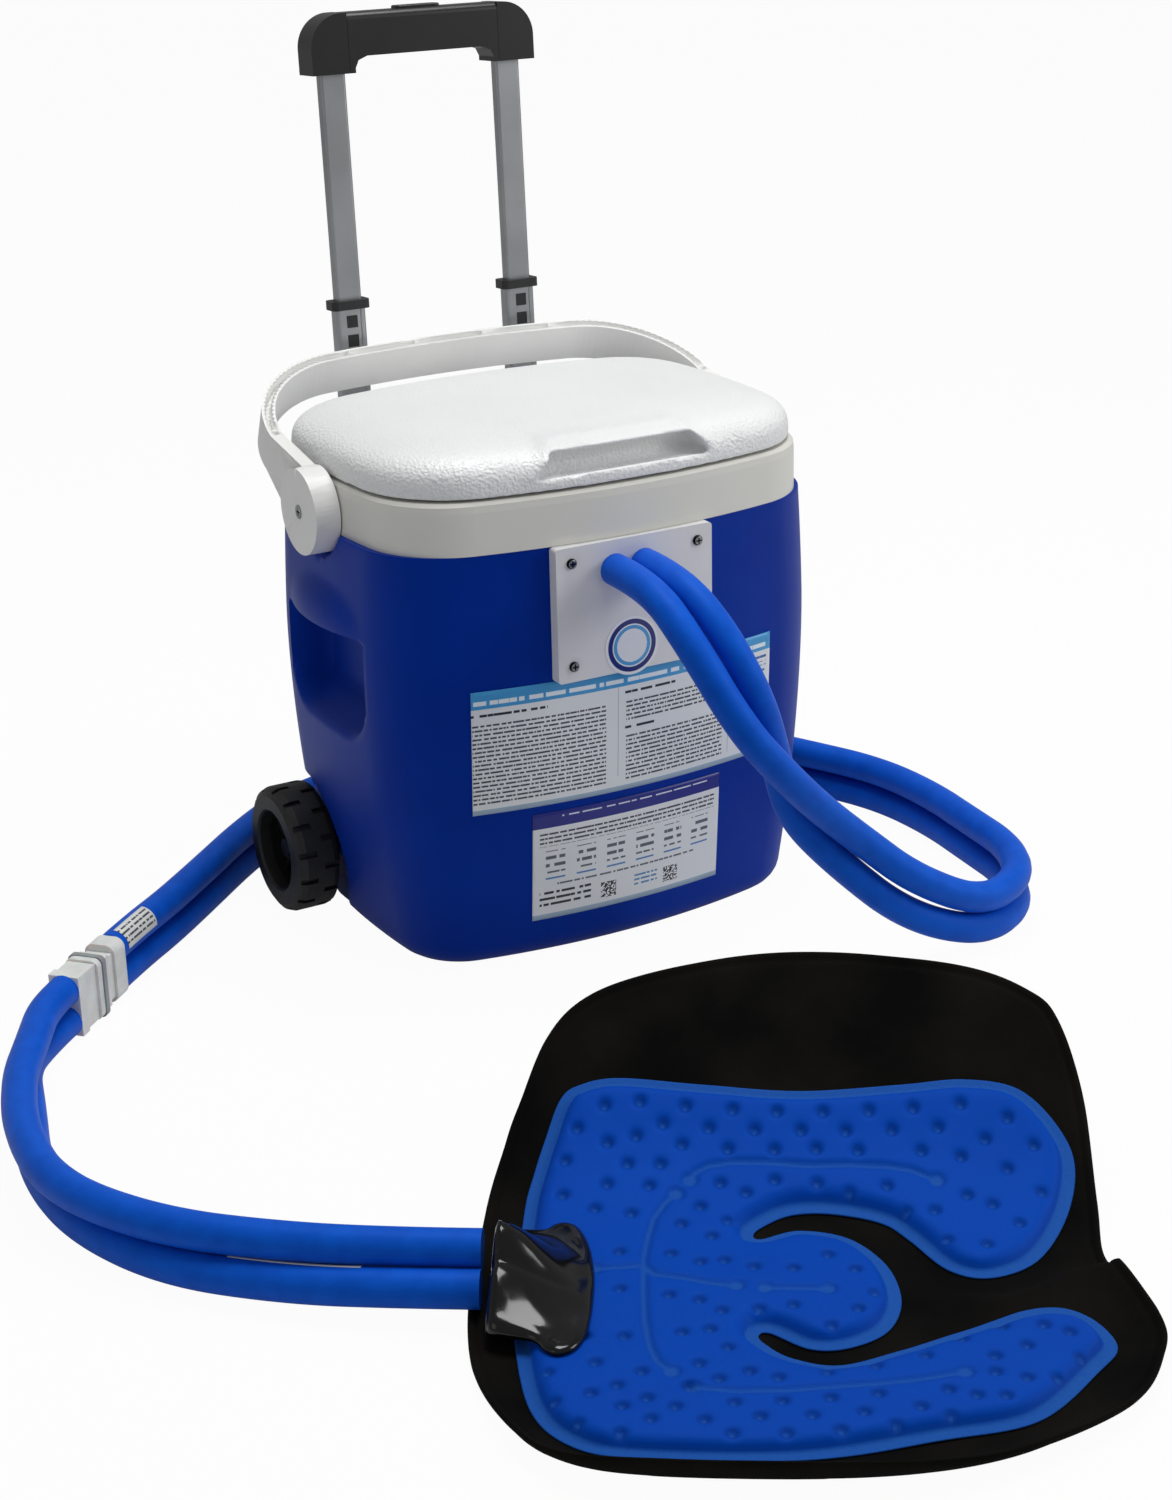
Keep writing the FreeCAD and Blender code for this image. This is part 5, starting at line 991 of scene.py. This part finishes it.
def curl(u, v, lift):
    """Height of the formed pad at plan place u, v and a lift above its underside."""
    height = np.full(len(v), 0.0) + lift
    for bend, start, sign in ((BACK_BEND, 0.0, 1), (FRONT_BEND, -FLAT_RUN, -1)):
        reach = sign * (v - start)
        radius = bend - lift
        end = radius * math.sin(RISE)
        arc = bend - np.sqrt(np.maximum(radius ** 2 - np.clip(reach, 0, end) ** 2, 0))
        slope = arc + np.maximum(reach - end, 0) * math.tan(RISE)
        height = np.where(reach > 0, slope, height)
    spots = np.column_stack((u, v))
    crease = np.array(WRAP_FOLD) / 1000
    ahead = np.interp(u, crease[:, 0], crease[:, 1]) < v
    width = np.where(ahead, *FOLD_WIDTHS)
    gain = FOLD_RISE * np.clip((u - crease[0, 0]) / 0.12, 0, 1)
    return height + bell(away(spots, crease, closed=False), gain, width)


def rim_turn(flat, depth):
    """How far the wrap's rim turns up: low at the sides, most along the front and its right corner."""
    front = np.clip((-0.115 - flat[:, 1]) / 0.07, 0, 1)
    corner = bell(np.hypot(flat[:, 0] - 0.250, flat[:, 1] + 0.085), RIM_CORNER, 0.070)
    reach = RIM_LOW + RIM_FRONT * front + corner
    return reach * (1 - np.clip(depth / RIM_WIDTH, 0, 1)) ** 2


def lay_pad(name, flat, faces, under, over, rim):
    """Closed pad piece from its plan triangles and the lifts of its two faces."""
    turn = np.array([[math.cos(PAD_TURN), math.sin(PAD_TURN)], [-math.sin(PAD_TURN), math.cos(PAD_TURN)]])
    plan = flat @ turn + np.array(PAD_ORIGIN[:2])
    lower = np.column_stack((plan, curl(flat[:, 0], flat[:, 1], under)))
    upper = np.column_stack((plan, curl(flat[:, 0], flat[:, 1], over)))
    above = np.arange(len(flat))
    above[~rim] = len(flat) + np.arange(np.count_nonzero(~rim))
    sides = [tuple(reversed(face)) for face in faces]
    sides += [tuple(above[list(face)].tolist()) for face in faces]
    mesh = bpy.data.meshes.new(name)
    mesh.from_pydata([tuple(spot) for spot in np.vstack((lower, upper[~rim]))], [], sides)
    mesh.validate()
    piece = new_piece(name, mesh)
    piece.select_set(True)
    bpy.ops.object.mode_set(mode="EDIT")
    bpy.ops.mesh.select_all(action="SELECT")
    bpy.ops.mesh.normals_make_consistent(inside=False)
    bpy.ops.object.mode_set(mode="OBJECT")
    bpy.ops.object.select_all(action="DESELECT")
    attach(piece, "cooler")
    return piece


def waves(flat, sizes, seed):
    """Slow hand-made unevenness over a piece, from -1 to 1."""
    total = np.zeros(len(flat))
    rng = np.random.default_rng(seed)
    for size in sizes:
        for _ in range(5):
            angle, phase = rng.uniform(0, 2 * math.pi, 2)
            way = np.array([math.cos(angle), math.sin(angle)])
            total += np.sin(flat @ way * 2 * math.pi / size + phase)
    return total / (5 * len(sizes))


def rounded(depth, reach):
    """Rise of a rounded edge, from 0 at the rim to 1 at a reach inside it."""
    return np.sqrt(np.clip(1 - (1 - np.clip(depth / reach, 0, 1)) ** 2, 0, 1))


flat, faces, depth, rim = cut_piece(
    WRAP_OUTLINE, 0.003, 0.004, (0.0006, 0.0016, 0.003, 0.0046, 0.0060, 0.0074, 0.0092, 0.012),
)
crest = rounded(depth, WRAP_EDGE)
pressed = 1 - bell(depth - PRESSED_LINE, 0.5, PRESSED_WIDTH)
mid = WRAP_THICK / 2
turned = rim_turn(flat, depth)
uneven = WRAP_UNEVEN * waves(flat, (0.05, 0.09), 4) * crest
over = mid + (WRAP_THICK - mid) * crest * pressed + uneven + turned
under = mid - mid * crest + turned
under = np.where(rim, mid + turned, under)
wrap = lay_pad("neoprene_wrap", flat, faces, under, over, rim)
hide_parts("pad_wrap")

plain_finish(
    "neoprene with brushed loop face, black", ("#030303", "#12100D", 11, 6), (0.0007, 0.0004, 0.6, 3),
    "neoprene_wrap", Roughness=0.92, IOR=1.2, Specular_IOR_Level=0.35, Sheen_Weight=0.01,
    Sheen_Roughness=0.5, Sheen_Tint=srgb("#5A5A5E"),
)

# ------------------------------------------------------------------ bladder
# The bladder is two sheets of blue TPU film welded round the edge, along four seams and at
# rows of round spots, so that the water spreads evenly. The pressed flange is paler, and a
# painted shade darkens the film in a ring round each spot and beside each seam.

BLADDER_BASE = 0.0064
BLADDER_THICK = 0.0096
FLANGE = 0.0084
FILM = 0.0006
SPOT_DIMPLE, SPOT_NUB = (0.46, 0.0038), (0.09, 0.0015)
SEAM_GROOVE, SEAM_BEAD = (0.26, 0.0026), (0.08, 0.0009)
BLADDER_OUTLINE = (
    (-139, 51), (-135, 82), (-129, 109), (-120, 137), (-107, 147), (-80, 152), (-24, 148),
    (44, 144), (113, 149), (157, 153), (194, 146), (219, 119), (226, 90), (215, 47), (191, 4),
    (161, -14), (136, -6), (113, 26), (95, 43), (62, 51), (36, 49), (18, 38), (12, 30), (17, 26),
    (42, 35), (75, 27), (97, -1), (104, -41), (94, -74), (70, -92), (46, -94), (22, -78),
    (15, -80), (18, -88), (34, -103), (63, -110), (100, -94), (137, -75), (188, -55), (218, -60),
    (231, -86), (217, -112), (176, -162), (117, -182), (37, -204), (-53, -205), (-93, -193),
    (-119, -160), (-134, -90), (-139, -20),
)
WELD_SPOTS = (
    (-89, 125), (-65, 128), (-34, 125), (-2, 123), (28, 122), (59, 122), (90, 123), (120, 125),
    (152, 128), (183, 119), (-107, 109), (-49, 113), (-18, 110), (13, 109), (44, 109), (74, 109),
    (105, 110), (136, 112), (167, 104), (-86, 99), (-67, 104), (-36, 98), (-5, 95), (26, 95),
    (54, 96), (82, 95), (124, 95), (150, 91), (180, 82), (199, 100), (-114, 85), (-72, 83),
    (-50, 83), (-114, 56), (-85, 66), (-57, 65), (-10, 68), (7, 60), (26, 71), (54, 69), (75, 62),
    (100, 67), (152, 60), (168, 52), (201, 63), (184, 35), (-92, 44), (-68, 40), (-23, 47),
    (-35, 30), (-5, 34), (111, 46), (130, 46), (136, 18), (161, 13), (-15, 18), (-74, -1),
    (-41, -2), (-22, -11), (-7, -9), (12, -16), (37, -17), (59, -1), (76, -17), (-72, -43),
    (-41, -49), (-22, -54), (-8, -65), (15, -62), (36, -58), (87, -43), (76, -61), (59, -79),
    (-91, -94), (-67, -94), (-32, -89), (-15, -85), (-4, -104), (-111, -132), (-83, -122),
    (-55, -130), (-21, -121), (9, -128), (26, -134), (55, -127), (84, -120), (114, -109),
    (137, -91), (162, -79), (187, -78), (-105, -160), (-84, -152), (-69, -144), (-51, -156),
    (-27, -143), (-9, -136), (0, -159), (28, -157), (56, -153), (84, -148), (125, -143),
    (155, -109), (175, -98), (202, -84), (-90, -180), (-65, -164), (-34, -164), (-17, -176),
    (15, -172), (45, -170), (75, -166), (108, -160), (141, -148), (172, -130), (206, -108),
    (154, -125), (190, -129), (158, -148), (-65, -189), (-48, -176), (-1, -188), (30, -187),
    (61, -183), (93, -177), (125, -167),
)
WELD_SEAMS = (
    ((-30, 70), (-26, 77), (-17, 82), (-1, 85), (20, 85), (48, 83), (76, 84), (100, 83), (117, 80),
     (133, 72)),
    ((-39, 58), (-46, 50), (-53, 35), (-56, 16), (-58, -8), (-57, -41), (-55, -76), (-51, -104),
     (-46, -120), (-37, -130)),
    ((-89, -21), (-71, -19), (-58, -16), (-51, -26), (-34, -30), (-17, -35), (1, -38)),
    ((19, -40), (32, -40), (45, -40), (58, -40)),
    ((-24, -145), (0, -148), (30, -147), (61, -142), (83, -139), (108, -134), (136, -126)),
)

flat, faces, depth, rim = cut_piece(
    BLADDER_OUTLINE, 0.0022, 0.0021, (0.0005, 0.0012, 0.004, 0.0078, 0.0092, 0.0106, 0.0125),
)
spots = np.array(WELD_SPOTS) / 1000
spot_gap = np.min(np.hypot(
    flat[:, None, 0] - spots[None, :, 0], flat[:, None, 1] - spots[None, :, 1]), axis=1)
seam_gap = np.full(len(flat), 9.0)
for line in WELD_SEAMS:
    seam = np.array(line) / 1000
    seam_gap = np.minimum(seam_gap, away(flat, seam, closed=False))
    for end in (seam[0], seam[-1]):
        seam_gap = np.minimum(seam_gap, np.maximum(np.hypot(*(flat - end).T) - 0.0030, 0))
swell = 1 - np.exp(-np.clip(depth - FLANGE, 0, 1) / 0.0030)
full = BLADDER_THICK - 2 * FILM
crest = rounded(depth, FILM)
welds = 1 - bell(spot_gap, *SPOT_DIMPLE) + bell(spot_gap, *SPOT_NUB)
welds = welds - bell(seam_gap, *SEAM_GROOVE) + bell(seam_gap, *SEAM_BEAD)
puff = full * swell * np.clip(welds, 0.2, 1.0)
over = BLADDER_BASE + FILM + FILM * crest + puff + 0.0003 * waves(flat, (0.03, 0.06), 9) * swell
under = np.full(len(flat), BLADDER_BASE)
under = np.where(rim, BLADDER_BASE + FILM, under)
bladder = lay_pad("water_bladder", flat, faces, under, over, rim)


def mark(name, shares):
    """Store a share for each spot of the bladder, below and above."""
    layer = bladder.data.attributes.new(name, "FLOAT", "POINT")
    layer.data.foreach_set("value", np.concatenate((shares, shares[~rim])))


mark("weld", np.clip(np.maximum.reduce((
    1 - np.clip((depth - 0.0080) / 0.0015, 0, 1), bell(spot_gap, 0.9, 0.0017), bell(seam_gap, 0.8, 0.0016),
)), 0, 1))
# Painted shade: a share that darkens the film round each weld spot and beside each seam.
mark("hollow", np.clip(bell(spot_gap - 0.0028, 1, 0.0018) + bell(seam_gap - 0.0022, 0.4, 0.0012), 0, 1))
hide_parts("pad_bladder")

film, tree, shader, place = blank(
    "welded TPU film over nylon, blue", Roughness=0.58, IOR=1.3, Specular_Tint=BLUE_SHEEN,
)
drift = add(tree, "TexNoise", {"Vector": place, "Scale": 16.0, "Detail": 3.0}).outputs["Fac"]
body = mix(tree, drift, srgb("#013EA4"), srgb("#0244AE"))
# The film is darkened by the painted shade round the spots and seams.
hollow = add(tree, "Attribute", attribute_name="hollow").outputs["Fac"]
body = mix(tree, calc(tree, "MULTIPLY", hollow, 0.6), body, srgb("#012A78"))
weld = add(tree, "Attribute", attribute_name="weld").outputs["Fac"]
speck = add(tree, "TexNoise", {"Vector": place, "Scale": 1 / 0.0022, "Detail": 2.0}).outputs["Fac"]
pale = calc(tree, "MULTIPLY", weld, calc(tree, "ADD", speck, 0.45))
tree.links.new(mix(tree, pale, body, srgb("#1D52A2")), shader.inputs["Base Color"])
grain(tree, shader, place, 0.0009, 0.0002)
dress(film, "water_bladder")

# ------------------------------------------------------------------ hose cover
# A cap of thick glossy black vinyl is welded over the two hose ends where they enter the
# bladder. It sags between the hoses and its free edge is wavy.

COVER_OUTLINE = (
    (-152, 10), (-149, 15), (-138, 16), (-123, 17), (-118, 22), (-110, 25), (-101, 20), (-93, 1),
    (-88, -30), (-87, -59), (-88, -88), (-91, -104), (-97, -115), (-106, -119), (-114, -114),
    (-121, -105), (-138, -101), (-148, -98), (-152, -88), (-152, -40),
)
cover_base = BLADDER_BASE + BLADDER_THICK
COVER_THICK = 0.0012
SUPPLY_HUMP = (0.037, 0.037, 0.027)
RETURN_HUMP = (0.058, 0.022, 0.030)
flat, faces, depth, rim = cut_piece(COVER_OUTLINE, 0.0025, 0.003, (0.0005, 0.0015, 0.003, 0.005, 0.008))
u, v = flat.T
ease = step(-u, 0.089, 0.150)
hump = np.maximum(*(
    bell(v + middle, top, spread) for middle, top, spread in (SUPPLY_HUMP, RETURN_HUMP)
))
crest = rounded(depth, COVER_THICK)
rise = (0.0030 + hump * ease) * np.clip(depth / 0.004, 0, 1) ** 0.5
sag = 0.0013 * waves(flat, (0.032, 0.06), 12) * np.clip(depth / 0.008, 0, 1)
over = cover_base + 0.0014 + 0.0008 * crest + rise + sag
under = np.full(len(flat), cover_base + 0.0004)
under = np.where(rim, cover_base + COVER_THICK, under)
cover = lay_pad("hose_end_cover", flat, faces, under, over, rim)
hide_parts("pad_cover")

plain_finish(
    "plasticised vinyl, gloss black", ("#060607", "#0B0B0B", 40), (1 / 45, 0.0025, 0.3, 1),
    "hose_end_cover", Roughness=0.13, IOR=1.4, Coat_Weight=0.15, Coat_Roughness=0.05,
)

# ------------------------------------------------------------------ floor, light and camera
# A pale sweep of paper under three large soft lamps, in an even white room. Paper and room look
# evenly bright to the camera, and they light the object less than they show.

PAPER_LEVEL = -0.0012
ROOM_LIGHT = 0.29
PAPER_MIRRORED = 0.14
PAPER_GLOW = 0.96


def straight_rays(tree, path):
    """1 for rays that come from the camera, also through clear pieces."""
    return calc(tree, "MAXIMUM", path["Is Camera Ray"], path["Is Transmission Ray"])


bpy.ops.mesh.primitive_grid_add(
    x_subdivisions=8, y_subdivisions=8, size=60, location=(0, 0, PAPER_LEVEL),
)
floor = bpy.context.object
floor.name = "studio_floor"
bpy.ops.object.transform_apply(location=True, rotation=True, scale=True)
bpy.ops.object.select_all(action="DESELECT")
paper, tree, shader, place = blank("matt paper, white", Roughness=0.95, IOR=1.3)
shader.inputs["Base Color"].default_value = srgb("#D8D8D8")
glow = add(tree, "Emission", {"Color": (1, 1, 1, 1), "Strength": 1.0})
path = add(tree, "LightPath").outputs
mirrored = calc(tree, "MULTIPLY", path["Is Glossy Ray"], PAPER_MIRRORED)
seen = calc(tree, "MULTIPLY", calc(tree, "MAXIMUM", straight_rays(tree, path), mirrored), PAPER_GLOW)
both = add(tree, "MixShader", {0: seen, 1: shader.outputs[0], 2: glow.outputs[0]})
tree.links.new(both.outputs[0], tree.nodes["Material Output"].inputs["Surface"])
floor.data.materials.append(paper)

world = bpy.data.worlds.new("plain_room")
bpy.context.scene.world = world
world.use_nodes = True
tree = world.node_tree
sky = tree.nodes["Background"]
seen = straight_rays(tree, add(tree, "LightPath").outputs)
level = add(tree, "MapRange", {"Value": seen, "To Min": ROOM_LIGHT, "To Max": 1.0})
tree.links.new(level.outputs["Result"], sky.inputs["Strength"])
sky.inputs["Color"].default_value = (1, 1, 1, 1)


def lamp(name, spot, target, size, power):
    """A square soft lamp aimed at a point."""
    light = bpy.data.lights.new(name, "AREA")
    light.shape = "RECTANGLE"
    light.size, light.size_y = size
    light.energy = power
    holder = bpy.data.objects.new(name, light)
    bpy.context.scene.collection.objects.link(holder)
    holder.location = spot
    holder.rotation_mode = "QUATERNION"
    holder.rotation_quaternion = (Vector(target) - Vector(spot)).to_track_quat("-Z", "Y")


lamp("top_soft", (0.25, 0.0, 2.7), (0.05, -0.1, 0), (1.3, 1.3), 46)
lamp("right_soft", (2.2, -1.8, 1.5), (0, -0.2, 0.2), (1.3, 1.3), 27)
lamp("left_soft", (-2.6, -0.9, 1.3), (0, 0, 0.2), (1.2, 1.2), 3)

CAMERA_SPOT = (-0.9568, -1.7750, 0.9038)
FOCAL_PIXELS, FRAME_PIXELS, SENSOR = 2537.11, 1500, 36
camera = bpy.data.cameras.new("studio_camera")
holder = bpy.data.objects.new("studio_camera", camera)
bpy.context.scene.collection.objects.link(holder)
camera.sensor_fit = "AUTO"
camera.sensor_width = SENSOR
camera.lens = FOCAL_PIXELS / FRAME_PIXELS * SENSOR
ahead = Vector((0.4548, 0.8137, -0.3621)).normalized()
right = Vector((0.873, -0.488, 0)).normalized()
upward = right.cross(ahead)
roll = -0.024
level_x = math.sqrt(1 - roll ** 2) * right + roll * upward
level_y = -roll * right + math.sqrt(1 - roll ** 2) * upward
turned = Matrix((level_x, level_y, -ahead)).transposed()
holder.matrix_world = Matrix.Translation(CAMERA_SPOT) @ turned.to_4x4()
bpy.context.scene.camera = holder
bpy.context.scene.view_settings.view_transform = "Standard"

bpy.context.view_layer.update()
